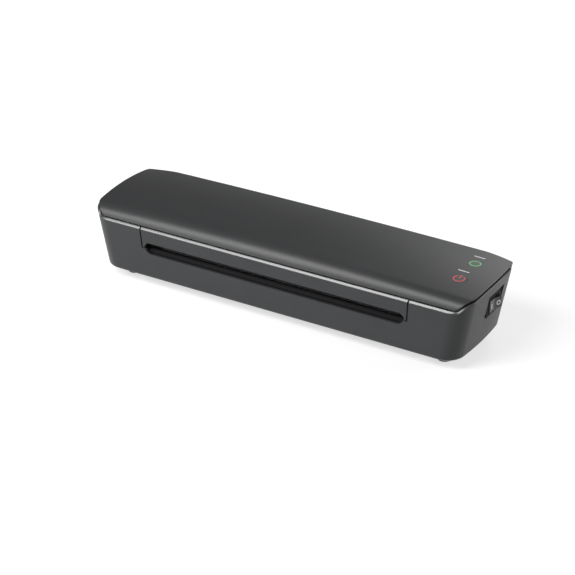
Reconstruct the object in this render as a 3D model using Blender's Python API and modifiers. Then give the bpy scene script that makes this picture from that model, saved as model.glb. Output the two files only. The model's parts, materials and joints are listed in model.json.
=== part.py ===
"""Pouch laminator: a two-roller desktop laminator as an assembly of separate pieces.

The frame has +X along the length, -Y at the entry side, +Z up, and its origin on the
table under the middle of the body.  Sizes below are in millimetres.
"""
import math

import bmesh
import bpy
from mathutils import Matrix, Vector

MM = 0.001
CLEAR = 0.3                 # gap between neighbouring pieces

# Housing
BODY_DEPTH = 100.0
FRONT_Y = -BODY_DEPTH / 2
REAR_Y = BODY_DEPTH / 2
RIM_HALF_LENGTH = 178.6     # at the plan corners
END_BOW = 3.0               # how far the ends swell beyond that
RIM_CORNERS = 16.0, 18.0    # plan radii at the front and the rear
REAR_BEND = 5.9             # how far the rear edge is drawn in at its corners
BEND_FROM_X = 150.0
RIM_Z = 57.2                # along the front and the rear
RIM_ROUND = 2.0
END_ROUND = 0.5             # share of that rounding left at the ends
BASE_Z = 12.2               # lower edge of the walls
BASE_HALF_LENGTH = 169.6
BASE_FRONT_Y = -47.6
BASE_REAR_Y = 41.5
BASE_CORNERS = 14.5, 16.0
PAN_Z = 5.0                 # flat underside
PAN_INSET = 9.0
WALL = 2.4

# Lid
COVER_WALL = 1.8
COVER_FRONT_Y = FRONT_Y + 2.9
COVER_EDGE_Z = 57.4
COVER_FRONT_SLOPE = 65.0    # degrees
COVER_FRONT_ROUND = 12.5
COVER_FRONT_PITCH = 5.0
COVER_REAR_PITCH = -4.1
COVER_REAR_ROUND_Y = 42.0   # where the rear rounding starts
COVER_REAR_ROUND = 5.0
COVER_REAR_SLOPE = -74.0
COVER_CROWN = 2.6
COVER_END_INSET = 0.8
COVER_CORNERS = 15.0, 10.0
COVER_TRIM = 0.6            # trim outline beyond the lid's front and rear edges
COVER_STATIONS = (-183, -171, -161, -150, -75, 0, 75, 150, 161, 171, 183)
END_SEAM = 1.7              # shadow gap between the lid and the end walls
SEAM_RUN = (-46.0, -38.0)   # where it opens, round the front corners

# Lip panels over the entry slot and, alike, over the exit
PANEL_TOP_HALF = 128.2
PANEL_FOOT_HALF = 126.4
PANEL_FOOT_Z = 41.5
PANEL_GAP = 1.0
SLOT_HALF = 124.4
SLOT_FLOOR_HALF = 118.0
SLOT_FLOOR_Z = 34.5
SLOT_ROUND_Z = 42.0
WALL_CUTS = {"front": (FRONT_Y - 4, FRONT_Y + 8), "rear": (REAR_Y - 10, REAR_Y + 4)}

# Pouch path and rollers
NIP_Z = 38.0
ROLLER_Y = 8.0
GEAR_MODULE = 1.0
ROLLER_TEETH = 22
PINION_TEETH = 14
AXLE_SPACING = GEAR_MODULE * ROLLER_TEETH
LOWER_AXLE_Z = NIP_Z - AXLE_SPACING / 2
UPPER_AXLE_Z = NIP_Z + AXLE_SPACING / 2
SLEEVE_R = AXLE_SPACING / 2 - CLEAR / 2
SLEEVE_HALF = 121.0
CORE_R = 7.5
JOURNAL_R = 4.0
PATH_HALF_GAP = 1.4         # between the heated shoes

# Steel side plates
PLATE_INNER_X = 126.5
PLATE = 1.5
PLATE_OUTER_X = PLATE_INNER_X + PLATE
BEARING_HALF = 6.0
SPRING_R = 2.6
SPRING_WIRE = 0.4
SPRING_TURNS = 4
SPRING_SEAT_Z = 60.6
PLATE_FOOT_Z = 7.8
TIE_BARS = [("tie_bar_front", (-27.0, 57.0)), ("tie_bar_rear", (27.0, 22.0))]
TENON_SLOTS = []            # filled as the cross pieces are made

# Gear motor, at the left end
PINION_RISE = 3.0
MOTOR_R = 20.0
MOTOR_SHAFT_R = 3.0
GEAR_FACE = (132.0, 138.0)  # distance of the gear faces from the middle
BRACKET_X = 142.0

# Rocker switch, in a pocket of the right end wall
POCKET_X = 176.6            # upright floor, which meets the leaning wall at the pocket's foot
POCKET_FLOOR = 2.2
POCKET_Y = (-10.0, 18.0)
POCKET_Z = (35.0, 55.5)
SWITCH_Y = 4.0
SWITCH_Z = 43.5
BEZEL = 0.9
BEZEL_FOOT_Z = 36.0
CASE_HALF = (9.9, 6.6)
WELL_HALF = (9.2, 5.5)
ROCKER_HALF = (8.2, 5.1)
ROCKER_TILT = 10.0
ROCKER_PIVOT_X = 175.0

# Lamps in the lid
LAMP_X = 154.2
LAMP_R = 6.4
LAMP_TOP_Z = 67.7
READY_Y = 16.0
POWER_Y = -13.3
LAMP_BOARD_Z = 53.0

# Control board, on the right side plate
BOARD_X = PLATE_OUTER_X + 4.0
BOARD = 1.6
SPACERS = [(-22.0, 14.0), (20.0, 12.0), (-22.0, 54.0), (20.0, 56.0)]

# Feet, pillars and gland
FOOT_AT = (151.0, 27.0)
FOOT_R = 6.0
PILLARS = [(138.0, -33.5), (-138.0, -33.5), (140.0, 29.0), (-140.0, 29.0)]
PILLAR_R = 3.5
GLAND_X = 140.0
GLAND_Z = 24.0
VENT = (3.0, 20.0)
VENT_STATIONS = range(-96, 97, 16)
VENT_ROWS = (-18.0, 12.0)

CHARCOAL = (0.055, 0.057, 0.06)
BLACK = (0.012, 0.012, 0.013)
STEEL = (0.55, 0.56, 0.58)
SILICONE = (0.42, 0.09, 0.06)
WHITE_NYLON = (0.75, 0.74, 0.70)
BOARD_GREEN = (0.03, 0.16, 0.06)

for leftover in list(bpy.data.objects):
    bpy.data.objects.remove(leftover, do_unlink=True)

PARTS = bpy.data.collections.new("pouch_laminator")
TOOLS = bpy.data.collections.new("cutters")
bpy.context.scene.collection.children.link(PARTS)
bpy.context.scene.collection.children.link(TOOLS)


# Small builders


def place(name, mesh, collection):
    """Link a mesh as a new object."""
    obj = bpy.data.objects.new(name, mesh)
    collection.objects.link(obj)
    if collection is TOOLS:
        obj.hide_render = True
        obj.display_type = 'WIRE'
    return obj


def mesh_from(bm, name):
    """Scale a millimetre bmesh to metres and keep it as a mesh."""
    bmesh.ops.scale(bm, vec=(MM, MM, MM), verts=bm.verts)
    mesh = bpy.data.meshes.new(name)
    bm.to_mesh(mesh)
    bm.free()
    return mesh


def smooth(obj, degrees=35.0):
    """Shade smooth, with edges sharper than an angle kept crisp."""
    obj.data.shade_smooth()
    obj.data.set_sharp_from_angle(angle=math.radians(degrees))


def finish(obj, colour, roughness=0.5, metallic=0.0):
    """Give a piece a material of its own."""
    material = bpy.data.materials.new(obj.name)
    material.use_nodes = True
    shader = material.node_tree.nodes["Principled BSDF"]
    shader.inputs["Base Color"].default_value = (*colour, 1.0)
    shader.inputs["Roughness"].default_value = roughness
    shader.inputs["Metallic"].default_value = metallic
    obj.data.materials.clear()
    obj.data.materials.append(material)


def boxes(name, corners, collection=TOOLS):
    """Blocks, each between two corners."""
    bm = bmesh.new()
    for low, high in corners:
        low, high = Vector(low), Vector(high)
        size = Matrix.Diagonal((*(high - low), 1.0))
        bmesh.ops.create_cube(bm, size=1.0, matrix=Matrix.Translation((low + high) / 2) @ size)
    return place(name, mesh_from(bm, name), collection)


def box(name, low, high, collection=TOOLS):
    return boxes(name, [(low, high)], collection)


AXIS_TURN = {
    'X': Matrix.Rotation(math.radians(90), 4, 'Y'),
    'Y': Matrix.Rotation(math.radians(-90), 4, 'X'),
    'Z': Matrix.Identity(4),
}


def rods(name, ends, axis, radius, collection=TOOLS, segments=20):
    """Round bars along one axis, each from its start point over a length."""
    bm = bmesh.new()
    for start, length in ends:
        turn = Matrix.Translation(start) @ AXIS_TURN[axis] @ Matrix.Translation((0, 0, length / 2))
        bmesh.ops.create_cone(bm, cap_ends=True, segments=segments, radius1=radius, radius2=radius,
                              depth=length, matrix=turn)
    return place(name, mesh_from(bm, name), collection)


def turned(name, profile, at, axis='Z', steps=24, closed=False, collection=PARTS):
    """A turned piece: (radius, height) points down the outer side, spun round an axis."""
    mesh = bpy.data.meshes.new(name)
    points = [(r * MM, 0, h * MM) for r, h in profile]
    edges = [(i, i + 1) for i in range(len(points) - 1)]
    if closed:
        edges.append((len(points) - 1, 0))
    mesh.from_pydata(points, edges, [])
    obj = place(name, mesh, collection)
    obj.matrix_world = Matrix.Translation(Vector(at) * MM) @ AXIS_TURN[axis]
    screw = obj.modifiers.new("turn", 'SCREW')
    screw.steps = steps
    screw.render_steps = steps
    screw.use_merge_vertices = True
    screw.merge_threshold = 0.00001
    screw.use_normal_calculate = False
    return obj


def tube_profile(outer, inner, low, high):
    """Closed section of a plain ring."""
    return [(outer, high), (outer, low), (inner, low), (inner, high)]


def extruded(name, outlines, low, high, axis='X', collection=PARTS):
    """A flat outline (with any holes) carried along one axis between two stations.

    Outline points are (y, z) for axis X, (x, z) for axis Y and (x, y) for axis Z.
    """
    curve = bpy.data.curves.new(name, 'CURVE')
    curve.dimensions = '2D'
    curve.fill_mode = 'BOTH'
    curve.extrude = (high - low) / 2
    for outline in outlines:
        spline = curve.splines.new('POLY')
        spline.points.add(len(outline) - 1)
        spline.use_cyclic_u = True
        for point, (u, v) in zip(spline.points, outline):
            point.co = (u, v, 0, 1)
    sketch = place(name + "_sketch", curve, TOOLS)
    columns = {'X': ((0, 1, 0), (0, 0, 1), (1, 0, 0)),
               'Y': ((1, 0, 0), (0, 0, 1), (0, -1, 0)),
               'Z': ((1, 0, 0), (0, 1, 0), (0, 0, 1))}[axis]
    turn = Matrix(columns).transposed().to_4x4()
    station = Vector(columns[2]) * ((low + high) / 2)
    if axis == 'Y':
        station = -station
    graph = bpy.context.evaluated_depsgraph_get()
    mesh = bpy.data.meshes.new_from_object(sketch.evaluated_get(graph))
    bpy.data.objects.remove(sketch, do_unlink=True)
    bm = bmesh.new()
    bm.from_mesh(mesh)
    bmesh.ops.transform(bm, matrix=Matrix.Scale(MM, 4) @ Matrix.Translation(station) @ turn, verts=bm.verts)
    bmesh.ops.remove_doubles(bm, verts=bm.verts, dist=0.000001)
    bmesh.ops.recalc_face_normals(bm, faces=bm.faces)
    bm.to_mesh(mesh)
    bm.free()
    mesh.name = name
    return place(name, mesh, collection)


def loft(name, rings, collection=PARTS):
    """A closed skin through rings of equal count, each counter-clockwise from above."""
    bm = bmesh.new()
    loops = [[bm.verts.new(point) for point in ring] for ring in rings]
    for lower, upper in zip(loops, loops[1:]):
        for i in range(len(lower)):
            j = (i + 1) % len(lower)
            bm.faces.new((lower[i], lower[j], upper[j], upper[i]))
    bm.faces.new(loops[0][::-1])
    bm.faces.new(loops[-1])
    return place(name, mesh_from(bm, name), collection)


def boolean(target, tool, operation):
    """Live boolean with the exact solver."""
    modifier = target.modifiers.new(operation.lower() + "_" + tool.name, 'BOOLEAN')
    modifier.operation = operation
    modifier.object = tool
    modifier.solver = 'EXACT'


def cut(target, *tools):
    for tool in tools:
        boolean(target, tool, 'DIFFERENCE')


def fuse(target, *tools):
    for tool in tools:
        boolean(target, tool, 'UNION')


def arc(centre, radius, start, end, steps):
    """Points along a circular arc, angles in degrees; with no steps, its first point."""
    angles = [math.radians(start + (end - start) * k / max(steps, 1)) for k in range(steps + 1)]
    return [(centre[0] + radius * math.cos(a), centre[1] + radius * math.sin(a)) for a in angles]


# Shared forms of the housing and the lid


def cover_profile():
    """(y, z, crown share) along the lid's top from front edge to rear edge."""
    front, rear = math.radians(COVER_FRONT_SLOPE), math.radians(COVER_REAR_SLOPE)
    pitch_in, pitch_out = math.radians(COVER_FRONT_PITCH), math.radians(COVER_REAR_PITCH)
    points = [(COVER_FRONT_Y, COVER_EDGE_Z, 0.0)]

    def follow(radius, start, end, steps, share_from, share_to):
        y, z, _ = points[-1]
        centre_y, centre_z = y + radius * math.sin(start), z - radius * math.cos(start)
        for k in range(1, steps + 1):
            angle = start + (end - start) * k / steps
            share = share_from + (share_to - share_from) * k / steps
            points.append((centre_y - radius * math.sin(angle),
                           centre_z + radius * math.cos(angle), share))

    points.append((COVER_FRONT_Y + 0.4, COVER_EDGE_Z + 0.4 * math.tan(front), 0.0))
    follow(COVER_FRONT_ROUND, front, pitch_in, 7, 0.0, 0.8)
    span = COVER_REAR_ROUND_Y - points[-1][0]
    top_radius = span / (math.sin(pitch_in) - math.sin(pitch_out))
    follow(top_radius, pitch_in, pitch_out, 8, 0.8, 0.8)
    for k in range(1, 8):
        y, z, _ = points[-8 + k - 1]
        points[-8 + k - 1] = (y, z, 0.8 + 0.2 * math.sin(math.pi * k / 8))
    follow(COVER_REAR_ROUND, pitch_out, rear, 6, 0.8, 0.0)
    y, z, _ = points[-1]
    points.append((y + (COVER_EDGE_Z - z) / math.tan(rear), COVER_EDGE_Z, 0.0))
    return points


COVER = cover_profile()


def cover_height(y):
    """Height of the lid's top at its ends."""
    if y <= COVER[0][0] or y >= COVER[-1][0]:
        return COVER_EDGE_Z
    for (y0, z0, _), (y1, z1, _) in zip(COVER, COVER[1:]):
        if y <= y1:
            return z0 + (z1 - z0) * (y - y0) / (y1 - y0)
    return COVER_EDGE_Z


def plan(half_length, front, rear, corners, inset=0.0, corner_steps=7, end_steps=6):
    """Plan outline with round corners and bowed ends, counter-clockwise from above."""
    half_length, front, rear = half_length - inset, front + inset, rear - inset
    near, far = (radius - inset for radius in corners)
    right = arc((half_length - near, front + near), near, -90, 0, corner_steps)
    straight = rear - far - front - near
    right += [(half_length, front + near + straight * k / end_steps) for k in range(1, end_steps)]
    right += arc((half_length - far, rear - far), far, 0, 90, corner_steps) + [(BEND_FROM_X, rear)]
    middle, half_depth = (front + rear) / 2, (rear - front) / 2
    right = [(x + END_BOW * (1 - ((y - middle) / half_depth) ** 2), y) for x, y in right]
    return right + [(-x, y) for x, y in reversed(right)]


def drawn_in(x, y):
    """Depth of a point once the rear edge is drawn in towards its corners."""
    along = max(0.0, (abs(x) - BEND_FROM_X) / (RIM_HALF_LENGTH - BEND_FROM_X))
    across = min(1.0, max(0.0, y / COVER_REAR_ROUND_Y))
    return y - REAR_BEND * along ** 1.5 * across


def base_plan(inset=0.0):
    return plan(BASE_HALF_LENGTH, BASE_FRONT_Y, BASE_REAR_Y, BASE_CORNERS, inset)


def rim_plan(inset=0.0):
    outline = plan(RIM_HALF_LENGTH, FRONT_Y, REAR_Y, RIM_CORNERS, inset)
    return [(x, drawn_in(x, y)) for x, y in outline]


def cover_plan(inset=0.0):
    """The lid's outline, before its rear edge is drawn in."""
    return plan(RIM_HALF_LENGTH - COVER_END_INSET, COVER_FRONT_Y - COVER_TRIM, COVER[-1][0] + COVER_TRIM,
                COVER_CORNERS, inset)


def rim_heights():
    """The rim runs level along the front and climbs the ends under the lid's edge."""
    heights = []
    for _, y in cover_plan():
        rise = (cover_height(y + 0.2) - cover_height(y - 0.2)) / 0.4
        opening = min(1.0, max(0.0, (y - SEAM_RUN[0]) / (SEAM_RUN[1] - SEAM_RUN[0])))
        underside = cover_height(y) - COVER_WALL * math.hypot(1, rise)
        heights.append(max(RIM_Z, underside - CLEAR - (END_SEAM - CLEAR) * opening))
    return heights


def housing_form():
    """Outer body: pan, sloping underside, tapered walls and a rolled rim."""
    rings = [[(x, y, PAN_Z) for x, y in base_plan(PAN_INSET)]]
    rings.append([(x, y, BASE_Z - 2.4) for x, y in base_plan(1.6)])
    rings.append([(x, y, BASE_Z - 1.5) for x, y in base_plan(0.45)])
    rings.append([(x, y, BASE_Z) for x, y in base_plan()])
    outer, inner, heights = rim_plan(), rim_plan(RIM_ROUND), rim_heights()
    for degrees in (0, 30, 60, 90):
        angle = math.radians(degrees)
        ring = []
        for (x0, y0), (x1, y1), z in zip(outer, inner, heights):
            share = 1 - END_ROUND * min(1.0, abs(x0 - x1) / RIM_ROUND)
            inward = share * (1 - math.cos(angle))
            ring.append((x0 + (x1 - x0) * inward, y0 + (y1 - y0) * inward,
                         z - RIM_ROUND * share * (1 - math.sin(angle))))
        rings.append(ring)
    rings.append([(x, y, z) for (x, y), z in zip(rim_plan(RIM_ROUND + 4), heights)])
    return rings


def housing_cavity():
    """Inside of the walls, running out past the rim."""
    rings = [[(x, y, PAN_Z + WALL) for x, y in base_plan(PAN_INSET + 0.6)]]
    rings.append([(x, y, BASE_Z) for x, y in base_plan(WALL)])
    outer = rim_plan(WALL)
    rings.append([(x, y, RIM_Z) for x, y in outer])
    rings.append([(x, y, RIM_Z + 20) for x, y in outer])
    return rings


def panel_outline(grow):
    """Front view of a lip panel, grown by a gap all round."""
    top = COVER_EDGE_Z + 6
    return [(-PANEL_TOP_HALF - grow, top), (-PANEL_FOOT_HALF - grow, PANEL_FOOT_Z - grow),
            (PANEL_FOOT_HALF + grow, PANEL_FOOT_Z - grow), (PANEL_TOP_HALF + grow, top)]


def slot_outline():
    """Front view of a pouch slot: flat floor and large round lower corners."""
    wide, tall = SLOT_HALF - SLOT_FLOOR_HALF, SLOT_ROUND_Z - SLOT_FLOOR_Z
    corner = arc((0, 0), 1, -90, 0, 6)
    right = [(SLOT_FLOOR_HALF + wide * x, SLOT_ROUND_Z + tall * z) for x, z in corner]
    right.append((SLOT_HALF, SLOT_ROUND_Z + 2))
    return right + [(-x, z) for x, z in reversed(right)]


# Casing


def shell(name, collection):
    """The housing's walls before its openings are cut."""
    body = loft(name, housing_form(), collection)
    cavity = loft(name + "_cavity", housing_cavity(), TOOLS)
    pocket_back = box(name + "_pocket_back",
                      (POCKET_X - POCKET_FLOOR, POCKET_Y[0] - WALL, POCKET_Z[0] - WALL - 6),
                      (POCKET_X + 12, POCKET_Y[1] + WALL, POCKET_Z[1] + WALL))
    cut(cavity, pocket_back)
    cut(body, cavity)
    return body


def make_housing():
    housing = shell("lower_housing", PARTS)
    for side, span in WALL_CUTS.items():
        cut(housing,
            extruded(side + "_panel_gap", [panel_outline(PANEL_GAP)], *span, 'Y', TOOLS),
            extruded(side + "_slot", [slot_outline()], *span, 'Y', TOOLS))
    pocket = box("switch_pocket", (POCKET_X, POCKET_Y[0], POCKET_Z[0]),
                 (POCKET_X + 14, POCKET_Y[1], POCKET_Z[1]))
    half_y, half_z = CASE_HALF[0] + CLEAR, CASE_HALF[1] + CLEAR
    switch_hole = box("switch_hole", (POCKET_X - 8, SWITCH_Y - half_y, SWITCH_Z - half_z),
                      (POCKET_X + 4, SWITCH_Y + half_y, SWITCH_Z + half_z))
    vents = boxes("housing_vents", [
        ((x - VENT[0] / 2, y - VENT[1] / 2, PAN_Z - 2), (x + VENT[0] / 2, y + VENT[1] / 2, PAN_Z + 6))
        for y in VENT_ROWS for x in VENT_STATIONS])
    screws = rods("case_screw_holes", [((x, y, PAN_Z - 2), 8) for x, y in PILLARS], 'Z', 1.9, segments=12)
    cut(housing, pocket, switch_hole, vents, screws, gland_hole(), lid_sheet("lid_room", CLEAR, TOOLS))
    smooth(housing)
    finish(housing, CHARCOAL, 0.42)


def rear_lean():
    """Angle by which the rear wall leans in towards its foot."""
    return math.atan2(REAR_Y - BASE_REAR_Y, RIM_Z - BASE_Z)


def gland_frame():
    """Frame on the rear wall's outer face, with Z along the wall's normal."""
    share = (GLAND_Z - BASE_Z) / (RIM_Z - RIM_ROUND - BASE_Z)
    y = BASE_REAR_Y + (REAR_Y - BASE_REAR_Y) * share
    return (Matrix.Translation(Vector((GLAND_X, y, GLAND_Z)) * MM)
            @ Matrix.Rotation(-math.pi / 2 - rear_lean(), 4, 'X'))


def gland_hole():
    hole = rods("gland_hole", [((0, 0, -12), 24)], 'Z', 6.3)
    hole.matrix_world = gland_frame()
    return hole


def make_gland():
    """Flanged bush in the rear wall, with an open bore."""
    profile = [(8.0, CLEAR + 1.6), (8.0, CLEAR), (6.0, CLEAR), (6.0, -6.0), (3.6, -6.0), (3.6, CLEAR + 1.6)]
    gland = turned("cord_gland", profile, (0, 0, 0), closed=True)
    gland.matrix_world = gland_frame()
    smooth(gland)
    finish(gland, BLACK, 0.5)


def make_panel(side):
    panel = shell(side + "_lip_panel", PARTS)
    limit = extruded(side + "_panel_limit", [panel_outline(0)], *WALL_CUTS[side], 'Y', TOOLS)
    boolean(panel, limit, 'INTERSECT')
    smooth(panel)
    finish(panel, CHARCOAL, 0.42)


def lid_sheet(name, grow, collection):
    """The arched lid wall, or with grow the room that it needs."""
    bm = bmesh.new()
    rows = []
    for y, z, share in COVER:
        crown = [COVER_CROWN * share * (1 - (x / RIM_HALF_LENGTH) ** 2) for x in COVER_STATIONS]
        rows.append([bm.verts.new((x, drawn_in(x, y), z + c)) for x, c in zip(COVER_STATIONS, crown)])
    for near, far in zip(rows, rows[1:]):
        for k in range(len(COVER_STATIONS) - 1):
            bm.faces.new((near[k], near[k + 1], far[k + 1], far[k]))
    sheet = place(name, mesh_from(bm, name), collection)
    wall = sheet.modifiers.new("wall", 'SOLIDIFY')
    thickness = COVER_WALL + 2 * grow
    wall.thickness = thickness * MM
    wall.offset = 2 * grow / thickness - 1
    wall.use_even_offset = True
    outline = [(x, drawn_in(x, y)) for x, y in cover_plan(-grow)]
    boolean(sheet, extruded(name + "_trim", [outline], 40, 80, 'Z', TOOLS), 'INTERSECT')
    return sheet


def make_cover():
    cover = lid_sheet("top_cover", 0, PARTS)
    seat = PAN_Z + WALL + CLEAR
    ends = [((x, y, seat), cover_height(y) - COVER_WALL / 2 - seat) for x, y in PILLARS]
    pillars = rods("cover_pillars", ends, 'Z', PILLAR_R, segments=12)
    post_y = (READY_Y + POWER_Y) / 2
    top, shoulder, tip = cover_height(post_y) - COVER_WALL / 2, LAMP_BOARD_Z + 1.5, LAMP_BOARD_Z - 1
    profile = [(0, top), (2.6, top), (2.6, shoulder), (1.2, shoulder), (1.2, tip), (0, tip)]
    board_post = turned("lamp_board_post", profile, (LAMP_X, post_y, 0), steps=12, collection=TOOLS)
    fuse(cover, pillars, board_post)
    cut(cover,
        rods("pilot_holes", [((x, y, seat - 1), 14) for x, y in PILLARS], 'Z', 1.8, segments=12),
        rods("lamp_holes", [((LAMP_X, y, COVER_EDGE_Z), 14) for y in (READY_Y, POWER_Y)], 'Z',
             LAMP_R + CLEAR, segments=32))
    smooth(cover)
    finish(cover, CHARCOAL, 0.38)


def make_feet():
    for side, x in (("left", -FOOT_AT[0]), ("right", FOOT_AT[0])):
        for end, y in (("front", -FOOT_AT[1]), ("rear", FOOT_AT[1])):
            top = PAN_Z - CLEAR
            profile = [(0, top), (FOOT_R, top), (FOOT_R, 0.8), (FOOT_R - 0.8, 0), (0, 0)]
            foot = turned("foot_%s_%s" % (end, side), profile, (x, y, 0), steps=20)
            smooth(foot)
            finish(foot, BLACK, 0.8)


def make_case_screws():
    head = PAN_Z - CLEAR
    for number, (x, y) in enumerate(PILLARS, 1):
        profile = [(0, head + 12), (1.5, head + 12), (1.5, head), (3.2, head), (3.0, head - 1.3),
                   (0, head - 1.8)]
        screw = turned("case_screw_%d" % number, profile, (x, y, 0), steps=12)
        smooth(screw)
        finish(screw, STEEL, 0.35, 1.0)


# Pouch guides and heated shoes


def tenons(name, y0, y1, z0, z1):
    """End tongues that hang a cross piece in the side plates."""
    reach = PLATE_OUTER_X + 0.8
    TENON_SLOTS.append((y0 - CLEAR, y1 + CLEAR, z0 - CLEAR, z1 + CLEAR))
    return box(name + "_tongue", (-reach, y0, z0), (reach, y1, z1))


def guide(name, outline, tongue, colour=BLACK):
    """A moulded guide across the machine, with tongues in both side plates."""
    half = PLATE_INNER_X - CLEAR
    piece = extruded(name, [outline], -half, half, 'X')
    fuse(piece, tenons(name, *tongue))
    smooth(piece)
    finish(piece, colour, 0.55)


def make_guides():
    lip = BASE_FRONT_Y + 2.2
    guide("entry_tray", [(lip, 30.5), (lip + 1.6, 30.5), (lip + 1.6, 33.1), (-42.2, 34.9), (-40.5, 34.9),
                         (-40.5, 36.5), (-42.8, 36.5), (lip, 34.7)], (-43.2, -41.2, 34.95, 36.3))
    back = FRONT_Y + WALL + 0.9
    guide("upper_entry_guide", [(back, 41.6), (-43.0, 41.6), (-40.6, 40.2), (-40.6, 42.2), (-42.4, 43.6),
                                (back + 1.8, 43.6), (back + 1.8, 54.0), (back, 54.0)],
          (-44.6, -41.9, 42.0, 43.2))
    guide("lower_exit_guide", [(20.4, 33.6), (22.4, 35.6), (42.6, 35.0), (42.6, 33.2), (22.8, 33.6)],
          (24.0, 30.0, 33.8, 35.2))
    guide("upper_exit_guide", [(20.6, 42.8), (22.6, 41.6), (42.8, 42.2), (42.8, 44.0), (23.0, 43.6)],
          (24.0, 30.0, 42.0, 43.3))


def make_shoe(name, side):
    """Heated plate of finned extrusion; side is +1 above the pouch and -1 below."""
    def at(y, rise):
        return (y, NIP_Z + side * (PATH_HALF_GAP + rise))
    outline = [at(-40.0, 2.0), at(-38.0, 0), at(-5.6, 0), at(-5.6, 10.5), at(-7.4, 10.5), at(-7.4, 4.0),
               at(-35.6, 4.0), at(-35.6, 10.5), at(-37.6, 10.5), at(-37.6, 3.6), at(-40.0, 3.6)]
    half = PLATE_INNER_X - CLEAR
    shoe = extruded(name, [outline[::side]], -half, half, 'X')
    low, high = sorted((at(0, 0.6)[1], at(0, 3.4)[1]))
    fuse(shoe, tenons(name, -30.0, -14.0, low, high))
    smooth(shoe)
    finish(shoe, STEEL, 0.4, 1.0)
    low, high = sorted((at(0, 4.0 + CLEAR)[1], at(0, 5.2)[1]))
    strip = box(name.replace("heat_shoe", "heater_strip"), (-112, -32, low), (112, -12, high), PARTS)
    finish(strip, (0.62, 0.55, 0.42), 0.7)


def make_heat_control():
    top = NIP_Z + PATH_HALF_GAP + 5.2 + CLEAR
    profile = [(0, top + 6.5), (7.6, top + 6.5), (8.0, top + 6.0), (8.0, top), (0, top)]
    thermostat = turned("thermostat", profile, (34, -22, 0), steps=24)
    smooth(thermostat)
    finish(thermostat, (0.05, 0.045, 0.04), 0.5)
    fuse_profile = [(0, 7), (0.8, 7), (0.8, 6), (2.2, 5.5), (2.2, -5.5), (0.8, -6), (0.8, -7), (0, -7)]
    thermal = turned("thermal_fuse", fuse_profile, (-30, -22, top + 2.2), 'X', steps=12)
    smooth(thermal)
    finish(thermal, STEEL, 0.35, 1.0)


# Roller frame


def plate_outline():
    """Side view of a roller frame plate, cut back under the lid's shoulders."""
    return [(-31, PLATE_FOOT_Z), (26, PLATE_FOOT_Z), (32, 14), (32, 52), (27, 62), (-33, 62), (-45.6, 54),
            (-45.6, 32), (-40, 16)]


def slot_outline_yz():
    """Window of the sliding bearing, with room for its spring."""
    half = BEARING_HALF + CLEAR
    low, high = UPPER_AXLE_Z - BEARING_HALF - CLEAR, SPRING_SEAT_Z
    return [(ROLLER_Y - half, low), (ROLLER_Y + half, low), (ROLLER_Y + half, high), (ROLLER_Y - half, high)]


def make_side_plates():
    for side, sign in (("left", -1), ("right", 1)):
        low, high = sorted((sign * PLATE_INNER_X, sign * PLATE_OUTER_X))
        holes = [arc((ROLLER_Y, LOWER_AXLE_Z), 6.3, 0, 337.5, 15), slot_outline_yz()]
        holes += [arc(at, 2.3, 0, 330, 11) for _, at in TIE_BARS]
        holes += [[(y0, z0), (y1, z0), (y1, z1), (y0, z1)] for y0, y1, z0, z1 in TENON_SLOTS]
        if side == "right":
            holes += [arc(at, 1.5, 0, 315, 7) for at in SPACERS]
        name = "side_plate_" + side
        plate = extruded(name, [plate_outline()] + holes, low, high, 'X')
        near, far = sorted((sign * (PLATE_OUTER_X - 0.2), sign * (PLATE_INNER_X - 11)))
        fuse(plate, box(name + "_foot", (near, -29, PLATE_FOOT_Z), (far, 24, PLATE_FOOT_Z + PLATE)))
        finish(plate, STEEL, 0.4, 1.0)


def make_tie_bars():
    for name, (y, z) in TIE_BARS:
        half, tip = PLATE_INNER_X - CLEAR, PLATE_OUTER_X + 1.2
        profile = [(0, tip), (2.0, tip), (2.0, half), (3.2, half), (3.2, -half), (2.0, -half), (2.0, -tip),
                   (0, -tip)]
        bar = turned(name, profile, (0, y, z), 'X', steps=12)
        smooth(bar)
        finish(bar, STEEL, 0.35, 1.0)


def make_roller(level, z):
    """Steel core with turned journals and a silicone sleeve."""
    right, left = PLATE_OUTER_X + 5, GEAR_FACE[1] + 1.5
    core = SLEEVE_HALF + 1.5
    tip_r = JOURNAL_R - 0.5
    profile = [(0, right), (tip_r, right), (JOURNAL_R, right - 0.5), (JOURNAL_R, core), (CORE_R, core),
               (CORE_R, -core), (JOURNAL_R, -core), (JOURNAL_R, 0.5 - left), (tip_r, -left), (0, -left)]
    shaft = turned(level + "_roller_shaft", profile, (0, ROLLER_Y, z), 'X', steps=20)
    smooth(shaft)
    finish(shaft, STEEL, 0.3, 1.0)
    section = tube_profile(SLEEVE_R, CORE_R + CLEAR, -SLEEVE_HALF, SLEEVE_HALF)
    sleeve = turned(level + "_roller_sleeve", section, (0, ROLLER_Y, z), 'X', steps=40, closed=True)
    smooth(sleeve)
    finish(sleeve, SILICONE, 0.6)


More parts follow.
